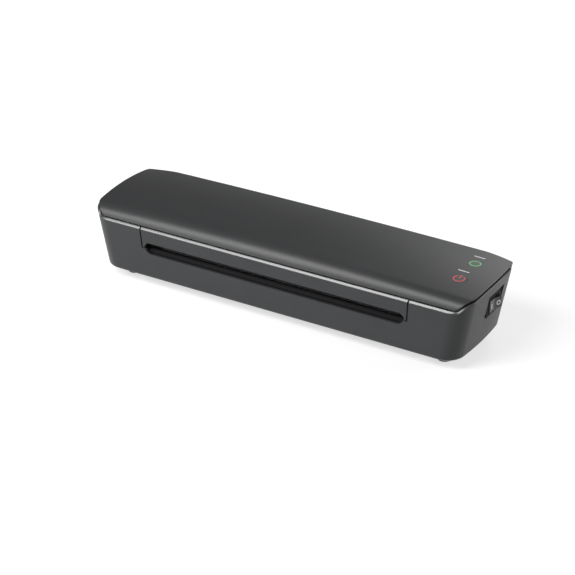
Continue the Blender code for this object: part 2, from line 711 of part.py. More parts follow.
def make_bearings():
    bore = JOURNAL_R + CLEAR
    for side, sign in (("left", -1), ("right", 1)):
        profile = [(8.0, -CLEAR), (8.0, -1.8), (bore, -1.8), (bore, 3.0), (6.0, 3.0), (6.0, -CLEAR)]
        profile = [(r, sign * (PLATE_INNER_X + h)) for r, h in profile][::sign]
        bush = turned("lower_bush_" + side, profile, (0, ROLLER_Y, LOWER_AXLE_Z), 'X', 24, True)
        smooth(bush)
        finish(bush, WHITE_NYLON, 0.5)
        half = BEARING_HALF
        square = [(ROLLER_Y - half, UPPER_AXLE_Z - half), (ROLLER_Y + half, UPPER_AXLE_Z - half),
                  (ROLLER_Y + half, UPPER_AXLE_Z + half), (ROLLER_Y - half, UPPER_AXLE_Z + half)]
        hole = arc((ROLLER_Y, UPPER_AXLE_Z), bore, 0, 342, 19)
        low, high = sorted((sign * (PLATE_INNER_X - 1.8), sign * (PLATE_OUTER_X + 1.5)))
        block = extruded("upper_bearing_" + side, [square, hole], low, high, 'X')
        cheek = half + 2
        inner = sorted((sign * (PLATE_INNER_X - 1.8), sign * (PLATE_INNER_X - CLEAR)))
        flange = extruded("bearing_cheek_" + side, [
            [(ROLLER_Y - cheek, UPPER_AXLE_Z - half), (ROLLER_Y + cheek, UPPER_AXLE_Z - half),
             (ROLLER_Y + cheek, UPPER_AXLE_Z + half), (ROLLER_Y - cheek, UPPER_AXLE_Z + half)], hole],
            *inner, 'X', TOOLS)
        fuse(block, flange)
        finish(block, WHITE_NYLON, 0.5)


def make_springs():
    """Coil springs between the bearing blocks and the plates' upper edges."""
    low = UPPER_AXLE_Z + BEARING_HALF + CLEAR + SPRING_WIRE
    high = SPRING_SEAT_Z - CLEAR - SPRING_WIRE
    turn_points = 10
    for side, sign in (("left", -1), ("right", 1)):
        curve = bpy.data.curves.new("nip_spring_" + side, 'CURVE')
        curve.dimensions = '3D'
        curve.bevel_depth = SPRING_WIRE * MM
        curve.bevel_resolution = 0
        curve.use_fill_caps = True
        spline = curve.splines.new('POLY')
        count = SPRING_TURNS * turn_points + 1
        spline.points.add(count - 1)
        for k, point in enumerate(spline.points):
            angle = 2 * math.pi * k / turn_points
            spot = Vector((sign * (PLATE_INNER_X + PLATE / 2) + SPRING_R * math.cos(angle),
                           ROLLER_Y + SPRING_R * math.sin(angle), low + (high - low) * k / (count - 1)))
            point.co = (*(spot * MM), 1)
        spring = place("nip_spring_" + side, curve, PARTS)
        finish(spring, STEEL, 0.3, 1.0)


# Gear train and motor


def involute(angle):
    return math.tan(angle) - angle


def gear_outline(teeth, centre, tooth_at):
    """Involute outline of stub teeth with running backlash; a tooth points at tooth_at degrees."""
    pitch_r = GEAR_MODULE * teeth / 2
    base_r = pitch_r * math.cos(math.radians(20))
    tip_r, root_r = pitch_r + 0.8 * GEAR_MODULE, pitch_r - 1.1 * GEAR_MODULE
    backlash = 0.14
    half_pitch = math.pi / (2 * teeth) - backlash / pitch_r + involute(math.radians(20))

    def half_angle(radius):
        return half_pitch - involute(math.acos(min(1.0, base_r / max(radius, base_r))))

    flank = [root_r, max(base_r, root_r + 0.15), (base_r + tip_r) / 2, tip_r]
    points = []
    for k in range(teeth):
        middle = math.radians(tooth_at) + 2 * math.pi * k / teeth
        edge = [(r, half_angle(r)) for r in flank]
        for r, spread in edge:
            points += arc(centre, r, math.degrees(middle - spread), 0, 0)
        for r, spread in reversed(edge):
            points += arc(centre, r, math.degrees(middle + spread), 0, 0)
    return points


def pinion_centre():
    reach = GEAR_MODULE * (ROLLER_TEETH + PINION_TEETH) / 2
    return ROLLER_Y - math.sqrt(reach ** 2 - PINION_RISE ** 2), LOWER_AXLE_Z + PINION_RISE


def make_gear(name, teeth, centre, tooth_at, bore):
    hole = arc(centre, bore, 0, 342, 19)
    gear = extruded(name, [gear_outline(teeth, centre, tooth_at), hole], -GEAR_FACE[1], -GEAR_FACE[0], 'X')
    finish(gear, WHITE_NYLON, 0.45)
    set_origin(gear, (0, centre[0], centre[1]))


def set_origin(obj, point):
    """Move an object's origin to a point without moving its shape."""
    shift = Vector(point) * MM
    obj.data.transform(Matrix.Translation(-shift))
    obj.location = shift


def make_gears():
    lower, upper, pinion = (ROLLER_Y, LOWER_AXLE_Z), (ROLLER_Y, UPPER_AXLE_Z), pinion_centre()
    bore = JOURNAL_R + CLEAR
    pitch, small_pitch = 360 / ROLLER_TEETH, 360 / PINION_TEETH
    make_gear("lower_roller_gear", ROLLER_TEETH, lower, 90, bore)
    make_gear("upper_roller_gear", ROLLER_TEETH, upper, 270 + pitch / 2, bore)
    towards = math.degrees(math.atan2(pinion[1] - lower[1], pinion[0] - lower[0]))
    phase = (towards - 90) / pitch
    tooth_at = towards + 180 - small_pitch * (0.5 - phase)
    make_gear("motor_pinion", PINION_TEETH, pinion, tooth_at, MOTOR_SHAFT_R + CLEAR)


def make_motor():
    y, z = pinion_centre()
    face = -BRACKET_X - PLATE
    foot = PLATE_FOOT_Z
    outline = [(y - 19, foot), (y + 19, foot), (y + 19, 46), (y + 12, 53), (y - 12, 53), (y - 19, 46)]
    hole = arc((y, z), 6.0, 0, 342, 19)
    bracket = extruded("motor_bracket", [outline, hole], face, -BRACKET_X, 'X')
    fuse(bracket, box("motor_bracket_foot", (-BRACKET_X - 0.2, y - 17, foot),
                      (-BRACKET_X + 9, y + 17, foot + PLATE)))
    finish(bracket, STEEL, 0.4, 1.0)
    near, middle, far = face - CLEAR, face - 8.5, face - 22
    bore = MOTOR_SHAFT_R + CLEAR + 0.1
    case = [(bore, near + 1.6), (5.6, near + 1.6), (5.6, near), (MOTOR_R, near), (MOTOR_R, middle),
            (bore, middle)]
    gear_case = turned("motor_gear_case", case, (0, y, z), 'X', 32, True)
    smooth(gear_case)
    finish(gear_case, STEEL, 0.4, 1.0)
    top = middle - CLEAR
    can = [(0, top), (MOTOR_R - 1, top), (MOTOR_R - 1, far + 2), (MOTOR_R - 3, far), (0, far)]
    motor = turned("motor_can", can, (0, y, z), 'X', 32)
    smooth(motor)
    finish(motor, STEEL, 0.3, 1.0)
    tip, end = 1.0 - GEAR_FACE[0], middle + CLEAR
    shaft = [(0, tip), (MOTOR_SHAFT_R, tip), (MOTOR_SHAFT_R, end), (0, end)]
    output = turned("motor_output_shaft", shaft, (0, y, z), 'X', 16)
    smooth(output)
    finish(output, STEEL, 0.3, 1.0)


# Switch, boards and lamps


def make_switch():
    y, z = SWITCH_Y, SWITCH_Z
    case = box("switch_body", (POCKET_X - 18, y - CASE_HALF[0], z - CASE_HALF[1]),
               (POCKET_X + BEZEL, y + CASE_HALF[0], z + CASE_HALF[1]), PARTS)
    bezel = box("switch_bezel", (POCKET_X + CLEAR, POCKET_Y[0] + CLEAR, BEZEL_FOOT_Z),
                (POCKET_X + CLEAR + BEZEL, POCKET_Y[1] - CLEAR, POCKET_Z[1] - CLEAR))
    round_edges(bezel, 0.3)
    well = box("switch_well", (POCKET_X - 13, y - WELL_HALF[0], z - WELL_HALF[1]),
               (POCKET_X + 5, y + WELL_HALF[0], z + WELL_HALF[1]))
    pivot = rods("switch_pivot_holes", [((ROCKER_PIVOT_X, y, z - 6.1), 12.2)], 'Z', 1.5, segments=16)
    fuse(case, bezel)
    cut(case, well, pivot)
    finish(case, BLACK, 0.4)


def round_edges(obj, width, segments=2):
    bevel = obj.modifiers.new("round", 'BEVEL')
    bevel.width = width * MM
    bevel.segments = segments
    bevel.limit_method = 'ANGLE'


def rocker_outline():
    """Plan section about the pivot: two faces that rise from the middle, and a round underside."""
    half = ROCKER_HALF[0]
    middle = 3.6
    tip = middle + half * math.tan(math.radians(ROCKER_TILT))
    under = [(x, y) for x, y in arc((0, 0), 8.0, 132, 228, 6) if abs(y) < half - 1]
    return [(middle, 0), (tip - 0.3, half - 0.3), (tip - 1.2, half), (-2, half), *under,
            (-2, -half), (tip - 1.2, -half), (tip - 0.3, 0.3 - half)]


def make_rocker():
    low, high = SWITCH_Z - ROCKER_HALF[1], SWITCH_Z + ROCKER_HALF[1]
    rocker = extruded("switch_rocker", [rocker_outline()], low, high, 'Z')
    rocker.data.transform(Matrix.Rotation(math.radians(-ROCKER_TILT), 4, 'Z'))
    rocker.location = Vector((ROCKER_PIVOT_X, SWITCH_Y, 0)) * MM
    pin = [((ROCKER_PIVOT_X, SWITCH_Y, SWITCH_Z - 5.9), 11.8)]
    fuse(rocker, rods("rocker_pin", pin, 'Z', 1.2, segments=16))
    finish(rocker, BLACK, 0.35)


def make_boards():
    holes = [arc(at, 1.5, 0, 315, 7) for at in SPACERS]
    holes += [arc((ROLLER_Y, z), 7.0, 0, 337.5, 15) for z in (LOWER_AXLE_Z, UPPER_AXLE_Z)]
    outline = [(-27, 11), (24, 11), (24, 59), (-27, 59)]
    board = extruded("control_board", [outline] + holes, BOARD_X, BOARD_X + BOARD, 'X')
    finish(board, BOARD_GREEN, 0.5)
    low, high = PLATE_OUTER_X + CLEAR, BOARD_X - CLEAR
    profile = [(0, high + 2.6), (1.2, high + 2.6), (1.2, high), (2.6, high), (2.6, low), (1.2, low),
               (1.2, low - 2.6), (0, low - 2.6)]
    for number, (y, z) in enumerate(SPACERS, 1):
        spacer = turned("board_spacer_%d" % number, profile, (0, y, z), 'X', 12)
        smooth(spacer)
        finish(spacer, WHITE_NYLON, 0.5)
    left, right, middle = LAMP_X - 8, LAMP_X + 8, (READY_Y + POWER_Y) / 2
    outline = [(left, middle - 21), (right, middle - 21), (right, middle + 19), (left, middle + 19)]
    hole = arc((LAMP_X, middle), 1.6, 0, 330, 11)
    lamp_board = extruded("lamp_board", [outline, hole], LAMP_BOARD_Z - 0.6, LAMP_BOARD_Z - 0.6 + BOARD, 'Z')
    finish(lamp_board, BOARD_GREEN, 0.5)


def make_lamps():
    for name, y, colour in (("ready", READY_Y, (0.1, 0.8, 0.35)), ("power", POWER_Y, (0.85, 0.06, 0.08))):
        foot = LAMP_BOARD_Z + 1.0 + CLEAR
        tip = foot + 4.6
        led = turned(name + "_led", [(0, tip), (1.6, tip - 0.7), (2.3, tip - 2.3), (2.3, foot), (0, foot)],
                     (LAMP_X, y, 0), steps=16)
        smooth(led)
        finish(led, colour, 0.2)
        stem = tip + CLEAR
        low, neck = LAMP_TOP_Z - 3.4, LAMP_TOP_Z - 4.2
        profile = [(0, LAMP_TOP_Z), (LAMP_R, LAMP_TOP_Z), (LAMP_R, low), (2.6, neck), (2.6, stem), (0, stem)]
        lens = turned(name + "_lens", profile, (LAMP_X, y, 0), steps=32)
        smooth(lens)
        finish(lens, BLACK, 0.25)


make_housing()
make_gland()
make_panel("front")
make_panel("rear")
make_cover()
make_feet()
make_case_screws()
make_guides()
make_shoe("upper_heat_shoe", 1)
make_shoe("lower_heat_shoe", -1)
make_heat_control()
make_side_plates()
make_tie_bars()
make_roller("lower", LOWER_AXLE_Z)
make_roller("upper", UPPER_AXLE_Z)
make_bearings()
make_springs()
make_gears()
make_motor()
make_switch()
make_rocker()
make_boards()
make_lamps()
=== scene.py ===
"""Looks of the pouch laminator: moulded shells, lamps, switch, fittings, finishes and stage."""

import json
import math

import bpy
from bpy.props import FloatProperty, FloatVectorProperty, PointerProperty
from mathutils import Matrix, Vector


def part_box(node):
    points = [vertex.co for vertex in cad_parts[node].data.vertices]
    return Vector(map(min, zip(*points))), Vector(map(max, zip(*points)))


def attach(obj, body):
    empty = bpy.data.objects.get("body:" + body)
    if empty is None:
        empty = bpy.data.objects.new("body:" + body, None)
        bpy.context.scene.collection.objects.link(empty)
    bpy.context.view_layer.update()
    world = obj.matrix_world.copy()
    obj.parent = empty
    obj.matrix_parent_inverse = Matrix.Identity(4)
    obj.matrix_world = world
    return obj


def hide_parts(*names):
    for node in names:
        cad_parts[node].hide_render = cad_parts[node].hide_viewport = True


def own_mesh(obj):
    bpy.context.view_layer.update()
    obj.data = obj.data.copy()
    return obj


bl_info = {
    "name": "Pouch Laminator",
    "version": (1, 0, 0),
    "blender": (4, 5, 0),
    "location": "View3D > Sidebar > Laminator",
    "description": "Builds the moulded shells, controls and finishes of a desktop pouch laminator",
    "category": "Object",
}

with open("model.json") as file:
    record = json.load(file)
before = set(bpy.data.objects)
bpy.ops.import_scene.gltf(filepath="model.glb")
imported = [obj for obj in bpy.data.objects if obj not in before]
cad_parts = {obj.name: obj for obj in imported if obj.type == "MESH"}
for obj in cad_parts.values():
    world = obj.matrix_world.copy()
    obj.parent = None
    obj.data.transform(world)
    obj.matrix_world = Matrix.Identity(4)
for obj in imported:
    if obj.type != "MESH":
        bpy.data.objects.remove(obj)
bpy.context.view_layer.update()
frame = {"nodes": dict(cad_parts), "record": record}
MM = 0.001
GAP = 0.3 * MM
WELD_DISTANCE = 0.004 * MM

# Edges that bend less than this many degrees are shaded smooth
SMOOTH_BELOW = 32.0


def length(name, description, millimetres):
    """A length property, given in millimetres."""
    return FloatProperty(name=name, description=description, default=millimetres * MM, unit='LENGTH')


def angle(name, description, degrees):
    """An angle property, given in degrees."""
    return FloatProperty(name=name, description=description, default=math.radians(degrees), unit='ROTATION')


def colour(name, description, *rgb):
    """A colour property."""
    return FloatVectorProperty(name=name, description=description, default=rgb, subtype='COLOR',
                               size=3, min=0.0, max=1.0)


class HousingSizes(bpy.types.PropertyGroup):
    front: length("Front", "Front of the rim, along Y", -50.0)
    rear: length("Rear", "Rear of the rim, along Y", 50.0)
    half_length: length("Half length", "Half the rim's length at its corners", 178.6)
    bow: length("End bow", "How far the ends swell beyond the corners", 3.0)
    front_corner: length("Front corner", "Plan radius of the rim's front corners", 16.0)
    rear_corner: length("Rear corner", "Plan radius of the rim's rear corners", 18.0)
    rear_bend: length("Rear bend", "How far the rear edge is drawn in at its corners", 5.9)
    bend_from: length("Bend start", "Where the rear edge starts to be drawn in, along X", 150.0)
    rim: length("Rim height", "Height of the rim along the front", 57.2)
    rim_round: length("Rim rounding", "Radius of the rim's outer edge", 2.0)
    end_round: length("End rounding", "Radius of the rim's outer edge at the ends", 1.0)
    base: length("Base height", "Height of the walls' lower edge", 12.2)
    base_half_length: length("Base half length", "Half the length at the walls' foot", 169.6)
    base_front: length("Base front", "Front of the walls' foot, along Y", -47.6)
    base_rear: length("Base rear", "Rear of the walls' foot, along Y", 41.5)
    base_front_corner: length("Base front corner", "Plan radius at the walls' foot, in front", 14.5)
    base_rear_corner: length("Base rear corner", "Plan radius at the walls' foot, at the rear", 16.0)
    pan: length("Pan height", "Height of the flat underside", 5.0)
    pan_inset: length("Pan inset", "How far the underside stands in from the walls", 9.0)
    wall: length("Wall", "Thickness of the moulding", 2.4)
    panel_top: length("Panel top", "Half width of the lip panel at its top", 128.2)
    panel_foot: length("Panel foot", "Half width of the lip panel at its foot", 126.4)
    panel_foot_height: length("Panel foot height", "Height of the lip panel's lower edge", 43.6)
    panel_ear_height: length("Panel ear height", "Height of the panel's lower ends, beside the slot", 38.4)
    panel_ear_cut: length("Panel ear cut", "Corner cut between the panel's lower edge and its ends", 3.2)
    panel_gap: length("Panel gap", "Split line round the lip panel", 1.0)
    slot_half: length("Slot half width", "Half width of the entry slot", 124.4)
    slot_floor_half: length("Slot floor half width", "Half width of the slot's flat floor", 118.0)
    slot_floor: length("Slot floor", "Height of the slot's floor at the front", 33.0)
    slot_round: length("Slot rounding height", "Height where the slot's lower corners end", 42.0)


class LidSizes(bpy.types.PropertyGroup):
    wall: length("Wall", "Thickness of the lid", 1.8)
    front: length("Front", "Front edge of the lid, along Y", -47.1)
    edge: length("Edge height", "Height of the lid's lower edge", 57.4)
    front_slope: angle("Front slope", "Slope at the front edge", 65.0)
    front_round: length("Front rounding", "Radius of the front shoulder", 12.5)
    front_pitch: angle("Front pitch", "Slope where the top starts", 5.0)
    rear_pitch: angle("Rear pitch", "Slope where the top ends", -4.1)
    rear_start: length("Rear start", "Where the rear rounding starts, along Y", 42.0)
    rear_round: length("Rear rounding", "Radius of the rear shoulder", 5.0)
    rear_slope: angle("Rear slope", "Slope at the rear edge", -74.0)
    crown: length("Crown", "Rise of the lid's middle over its ends", 2.6)
    end_inset: length("End inset", "How far the lid's ends stand inside the rim", 0.8)
    front_corner: length("Front corner", "Plan radius of the lid's front corners", 15.0)
    rear_corner: length("Rear corner", "Plan radius of the lid's rear corners", 10.0)
    trim: length("Trim", "How far the trim line runs outside the front and rear edges", 0.6)
    end_seam: length("End seam", "Shadow gap under the lid's ends", 0.8)
    seam_start: length("Seam start", "Where the end seam starts to open, along Y", -46.0)
    seam_full: length("Seam full", "Where the end seam is fully open, along Y", -38.0)


class ControlSizes(bpy.types.PropertyGroup):
    lamp_x: length("Lamp station", "Where the lamps stand, along X", 154.2)
    ready_y: length("Ready lamp", "Where the ready lamp stands, along Y", 16.0)
    power_y: length("Power lamp", "Where the power lamp stands, along Y", -13.3)
    window: length("Window radius", "Radius of a lamp window", 6.4)
    ring: length("Symbol radius", "Radius of the lamp symbols", 4.4)
    stroke: length("Stroke", "Width of the lamp symbols' lines", 0.7)
    pocket_x: length("Pocket floor", "Floor of the switch pocket, along X", 176.6)
    pocket_front: length("Pocket front", "Front of the switch pocket, along Y", -10.0)
    pocket_rear: length("Pocket rear", "Rear of the switch pocket, along Y", 18.0)
    pocket_foot: length("Pocket foot", "Foot of the switch pocket, along Z", 35.0)
    pocket_top: length("Pocket top", "Top of the switch pocket, along Z", 55.5)
    # The bezel spreads over the whole pocket floor, from its foot to the pocket's top: a black sheet that
    # paints the pocket's shade
    bezel: length("Bezel", "Thickness of the switch's bezel", 0.9)
    bezel_foot: length("Bezel foot", "Lower edge of the switch's bezel", 36.0)
    switch_y: length("Switch", "Middle of the switch, along Y", 4.0)
    switch_z: length("Switch height", "Middle of the switch, along Z", 43.5)
    pivot_x: length("Rocker pivot", "Axis of the rocker, along X", 175.0)
    tilt: angle("Rocker tilt", "Rest tilt of the rocker", 10.0)


class FinishColours(bpy.types.PropertyGroup):
    housing: colour("Housing", "Charcoal plastic of the lower case", 0.0405, 0.0418, 0.0435)
    # Charcoal plastic, set darker than the housing's: the difference is painted shade for the lid's dim top
    lid: colour("Lid", "Charcoal plastic of the lid", 0.0225, 0.0232, 0.0243)
    # Near-black plastic, darkened further as painted shade: it stands for the shade inside the slot and, on
    # the switch bezel, for the pocket's shade; the gland uses it as its own black
    guide: colour("Guides", "Black plastic inside the slot", 0.010, 0.010, 0.011)
    switch: colour("Switch", "Black plastic of the switch", 0.012, 0.012, 0.013)
    rubber: colour("Rubber", "Feet", 0.016, 0.016, 0.017)
    zinc: colour("Zinc", "Plated sheet steel", 0.50, 0.51, 0.53)
    steel: colour("Steel", "Turned steel", 0.58, 0.58, 0.59)
    silicone: colour("Silicone", "Roller sleeves", 0.40, 0.085, 0.055)
    nylon: colour("Nylon", "Gears, bearings and spacers", 0.74, 0.73, 0.69)
    # Painted shade: the heated shoes' aluminium is darkened to stand for the shade inside the slot; it is not
    # an anodised finish
    aluminium: colour("Aluminium", "Heated shoes, dark anodised", 0.11, 0.11, 0.115)
    mica: colour("Mica", "Heater strips", 0.60, 0.53, 0.40)
    board: colour("Board", "Circuit boards", 0.03, 0.16, 0.06)
    green: colour("Green lamp", "Ready symbol", 0.10, 0.42, 0.13)
    red: colour("Red lamp", "Power symbol", 0.55, 0.05, 0.06)
    ink: colour("Print", "Pale print by the lamps", 0.62, 0.63, 0.64)
    rocker_ink: colour("Rocker print", "White print on the rocker", 0.86, 0.86, 0.86)
    floor: colour("Floor", "Pale studio floor", 0.42, 0.42, 0.42)


def housing_sizes():
    return bpy.context.scene.laminator_housing


def lid_sizes():
    return bpy.context.scene.laminator_lid


def control_sizes():
    return bpy.context.scene.laminator_controls


def colours():
    return bpy.context.scene.laminator_colours


# Modelling helpers


def activate(piece):
    """Make one piece the only selected and the active one."""
    bpy.ops.object.select_all(action='DESELECT')
    piece.select_set(True)
    bpy.context.view_layer.objects.active = piece


def apply_modifier(piece, kind, **settings):
    """Add one modifier to a piece and apply it."""
    activate(piece)
    bpy.ops.object.modifier_add(type=kind)
    modifier = piece.modifiers[-1]
    for key, value in settings.items():
        setattr(modifier, key, value)
    bpy.ops.object.modifier_apply(modifier=modifier.name)


def fresh(name, add, **settings):
    """A new primitive, alone in the selection."""
    bpy.ops.object.select_all(action='DESELECT')
    add(**settings)
    bpy.context.object.name = name
    return bpy.context.object


def draped_grid(name, columns, rows, spot):
    """A grid whose vertex (i, j) of columns and rows is carried to spot(i, j)."""
    piece = fresh(name, bpy.ops.mesh.primitive_grid_add, x_subdivisions=columns, y_subdivisions=rows, size=2)
    for vertex in piece.data.vertices:
        i = round((vertex.co.x + 1) / 2 * columns)
        j = round((vertex.co.y + 1) / 2 * rows)
        vertex.co = spot(i, j)
    return piece


def close_skin(piece, capped=True):
    """Weld the seam, cap the open ends if asked and turn the faces outwards."""
    activate(piece)
    bpy.ops.object.mode_set(mode='EDIT')
    bpy.ops.mesh.select_all(action='SELECT')
    bpy.ops.mesh.remove_doubles(threshold=WELD_DISTANCE)
    if capped:
        bpy.ops.mesh.fill_holes(sides=0)
        bpy.ops.mesh.select_all(action='SELECT')
    bpy.ops.mesh.normals_make_consistent(inside=False)
    bpy.ops.object.mode_set(mode='OBJECT')
    return piece


def ring_skin(name, rings):
    """A closed skin through rings of equal count."""
    count = len(rings[0])
    piece = draped_grid(name, count, len(rings) - 1, lambda i, j: rings[j][i % count])
    return close_skin(piece)


def turned(name, profile, place, steps=48):
    """A turned piece: (radius, height) points spun round the Z axis of a placing matrix."""
    def spot(i, j):
        radius, height = profile[j]
        turn = 2 * math.pi * (i % steps) / steps
        return place @ Vector((radius * math.cos(turn), radius * math.sin(turn), height))
    return close_skin(draped_grid(name, steps, len(profile) - 1, spot))


# Directions across, up and along for an outline that is extruded along an axis
AXES = {'Y': ((1, 0, 0), (0, 0, 1), (0, 1, 0)),
        'Z': ((1, 0, 0), (0, 1, 0), (0, 0, 1))}


def prism(name, outline, low, high, axis):
    """An outline in the plane across an axis, extruded along it from low to high."""
    across, up, along = (Vector(v) for v in AXES[axis])
    piece = fresh(name, bpy.ops.mesh.primitive_circle_add, vertices=len(outline), radius=1, fill_type='NGON')
    for vertex, (a, b) in zip(piece.data.vertices, outline):
        vertex.co = across * a + up * b + along * low
    bpy.ops.object.mode_set(mode='EDIT')
    bpy.ops.mesh.select_all(action='SELECT')
    bpy.ops.mesh.extrude_region_move(TRANSFORM_OT_translate={"value": along * (high - low)})
    bpy.ops.mesh.select_all(action='SELECT')
    bpy.ops.mesh.normals_make_consistent(inside=False)
    bpy.ops.object.mode_set(mode='OBJECT')
    return piece


def block(name, low, high):
    """A cube stretched between two corners."""
    low, high = Vector(low), Vector(high)
    piece = fresh(name, bpy.ops.mesh.primitive_cube_add, size=1, location=(low + high) / 2)
    piece.scale = high - low
    bpy.ops.object.transform_apply(location=True, rotation=True, scale=True)
    return piece


def joined(pieces):
    """Several pieces as one object."""
    activate(pieces[0])
    for piece in pieces:
        piece.select_set(True)
    bpy.ops.object.join()
    return pieces[0]


def copied(piece, name, shift):
    """A copy of a piece, with its own mesh, moved by a shift."""
    activate(piece)
    bpy.ops.object.duplicate(linked=False)
    copy = bpy.context.object
    copy.name = name
    copy.data.transform(Matrix.Translation(shift))
    return copy


def combine(piece, operation, *tools):
    """Boolean a piece with tools, which are used up."""
    for tool in tools:
        apply_modifier(piece, 'BOOLEAN', operation=operation, object=tool, solver='EXACT')
        bpy.data.objects.remove(tool, do_unlink=True)


def shade(piece, below):
    """Shade a piece smooth across the edges that bend less than an angle in degrees."""
    activate(piece)
    bpy.ops.object.shade_smooth_by_angle(angle=math.radians(below))


def soften(piece, width, sharper_than=40.0, segments=2):
    """Round a piece's sharp edges, then shade it."""
    apply_modifier(piece, 'BEVEL', width=width, segments=segments, limit_method='ANGLE',
                   angle_limit=math.radians(sharper_than), use_clamp_overlap=False, harden_normals=False)
    shade(piece, SMOOTH_BELOW)
    apply_modifier(piece, 'WEIGHTED_NORMAL', mode='FACE_AREA', weight=50, keep_sharp=True)


def settle(piece, body, slot, material, *nodes):
    """Give a finished piece its material, the body that carries it and the nodes it stands for."""
    piece.data.materials.clear()
    piece.data.materials.append(material)
    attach(piece, body)
    if nodes:
        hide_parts(*nodes)


def arc(centre, radius, start, end, steps):
    """Points along a circular arc, with angles in degrees."""
    turns = [math.radians(start + (end - start) * k / steps) for k in range(steps + 1)]
    return [(centre[0] + radius * math.cos(t), centre[1] + radius * math.sin(t)) for t in turns]


# Shared forms of the lid and the housing

# Shares of the crown that the lid's shoulders reach and that its top adds
SHOULDER_CROWN = 0.8
TOP_CROWN = 0.2


def mirrored(right):
    """An outline from its right half, followed by its left half."""
    return right + [(-a, b) for a, b in reversed(right)]


def lid_arcs():
    """The lid's section as circles (first y, last y, first slope, last slope, centre y, centre z, radius)."""
    lid = lid_sizes()
    flat = 0.4 * MM
    y = lid.front + flat
    z = lid.edge + flat * math.tan(lid.front_slope)
    reach = lid.rear_start - y - lid.front_round * (math.sin(lid.front_slope) - math.sin(lid.front_pitch))
    top = reach / (math.sin(lid.front_pitch) - math.sin(lid.rear_pitch))
    arcs = []
    for radius, start, end in ((lid.front_round, lid.front_slope, lid.front_pitch),
                               (top, lid.front_pitch, lid.rear_pitch),
                               (lid.rear_round, lid.rear_pitch, lid.rear_slope)):
        centre_y = y + radius * math.sin(start)
        centre_z = z - radius * math.cos(start)
        last_y = centre_y - radius * math.sin(end)
        last_z = centre_z + radius * math.cos(end)
        arcs.append((y, last_y, start, end, centre_y, centre_z, radius))
        y, z = last_y, last_z
    return arcs


def lid_rear():
    """Where the lid's rear edge lies, along Y."""
    lid = lid_sizes()
    _, last_y, _, end, _, centre_z, radius = lid_arcs()[-1]
    return last_y + (lid.edge - centre_z - radius * math.cos(end)) / math.tan(end)


def lid_section(y):
    """Height of the lid's top at its ends, and the share of the crown there."""
    lid = lid_sizes()
    arcs = lid_arcs()
    if y <= arcs[0][0]:
        return lid.edge + max(0.0, y - lid.front) * math.tan(lid.front_slope), 0.0
    for number, (_, last, start, end, centre_y, centre_z, radius) in enumerate(arcs):
        if y <= last:
            offset = y - centre_y
            part = (start + math.asin(offset / radius)) / (start - end)
            crowns = (SHOULDER_CROWN * part,
                      SHOULDER_CROWN + TOP_CROWN * math.sin(math.pi * part),
                      SHOULDER_CROWN * (1 - part))
            return centre_z + math.sqrt(radius ** 2 - offset ** 2), crowns[number]
    _, last, _, end, _, centre_z, radius = arcs[-1]
    height = centre_z + radius * math.cos(end) + (y - last) * math.tan(end)
    return max(lid.edge, height), 0.0


def lid_top(x, y):
    """Height of the lid's outer face."""
    height, crown = lid_section(y)
    return height + lid_sizes().crown * crown * (1 - (x / housing_sizes().half_length) ** 2)


def plan(half_length, front, rear, near, far, inset=0.0):
    """Plan outline with round corners, near in front and far at the rear, and bowed ends."""
    corner_steps, end_steps, bend_steps = 14, 10, 5
    half_length, front, rear = half_length - inset, front + inset, rear - inset
    near, far = near - inset, far - inset
    right = arc((half_length - near, front + near), near, -90, 0, corner_steps)
    straight = rear - far - front - near
    right += [(half_length, front + near + straight * k / end_steps) for k in range(1, end_steps)]
    right += arc((half_length - far, rear - far), far, 0, 90, corner_steps)
    bend_from, bow = housing_sizes().bend_from, housing_sizes().bow
    run = half_length - far - bend_from
    right += [(bend_from + run * (1 - k / bend_steps), rear) for k in range(1, bend_steps + 1)]
    middle, half_depth = (front + rear) / 2, (rear - front) / 2
    right = [(x + bow * (1 - ((y - middle) / half_depth) ** 2), y) for x, y in right]
    return mirrored(right)


def base_plan(inset=0.0):
    """The outline of the walls' foot."""
    size = housing_sizes()
    return plan(size.base_half_length, size.base_front, size.base_rear, size.base_front_corner,
                size.base_rear_corner, inset)


def drawn_in(x, y):
    """Depth of a point once the rear edge is drawn in towards its corners."""
    size = housing_sizes()
    along = max(0.0, (abs(x) - size.bend_from) / (size.half_length - size.bend_from))
    across = min(1.0, max(0.0, y / lid_sizes().rear_start))
    sharpness = 1.5
    return y - size.rear_bend * along ** sharpness * across


def rim_plan(inset=0.0):
    """The outline of the rim, with its rear edge drawn in."""
    size = housing_sizes()
    outline = plan(size.half_length, size.front, size.rear, size.front_corner, size.rear_corner, inset)
    return [(x, drawn_in(x, y)) for x, y in outline]


def lid_plan(inset=0.0):
    """The lid's outline, before its rear edge is drawn in."""
    size, lid = housing_sizes(), lid_sizes()
    return plan(size.half_length - lid.end_inset, lid.front - lid.trim, lid_rear() + lid.trim,
                lid.front_corner, lid.rear_corner, inset)


def rim_heights():
    """The rim runs level along the front and climbs the ends under the lid's edge."""
    size, lid = housing_sizes(), lid_sizes()
    step = 0.2 * MM
    heights = []
    for _, y in lid_plan():
        rise = (lid_section(y + step)[0] - lid_section(y - step)[0]) / (2 * step)
        opening = min(1.0, max(0.0, (y - lid.seam_start) / (lid.seam_full - lid.seam_start)))
        underside = lid_section(y)[0] - lid.wall * math.hypot(1, rise)
        heights.append(max(size.rim, underside - GAP - (lid.end_seam - GAP) * opening))
    return heights


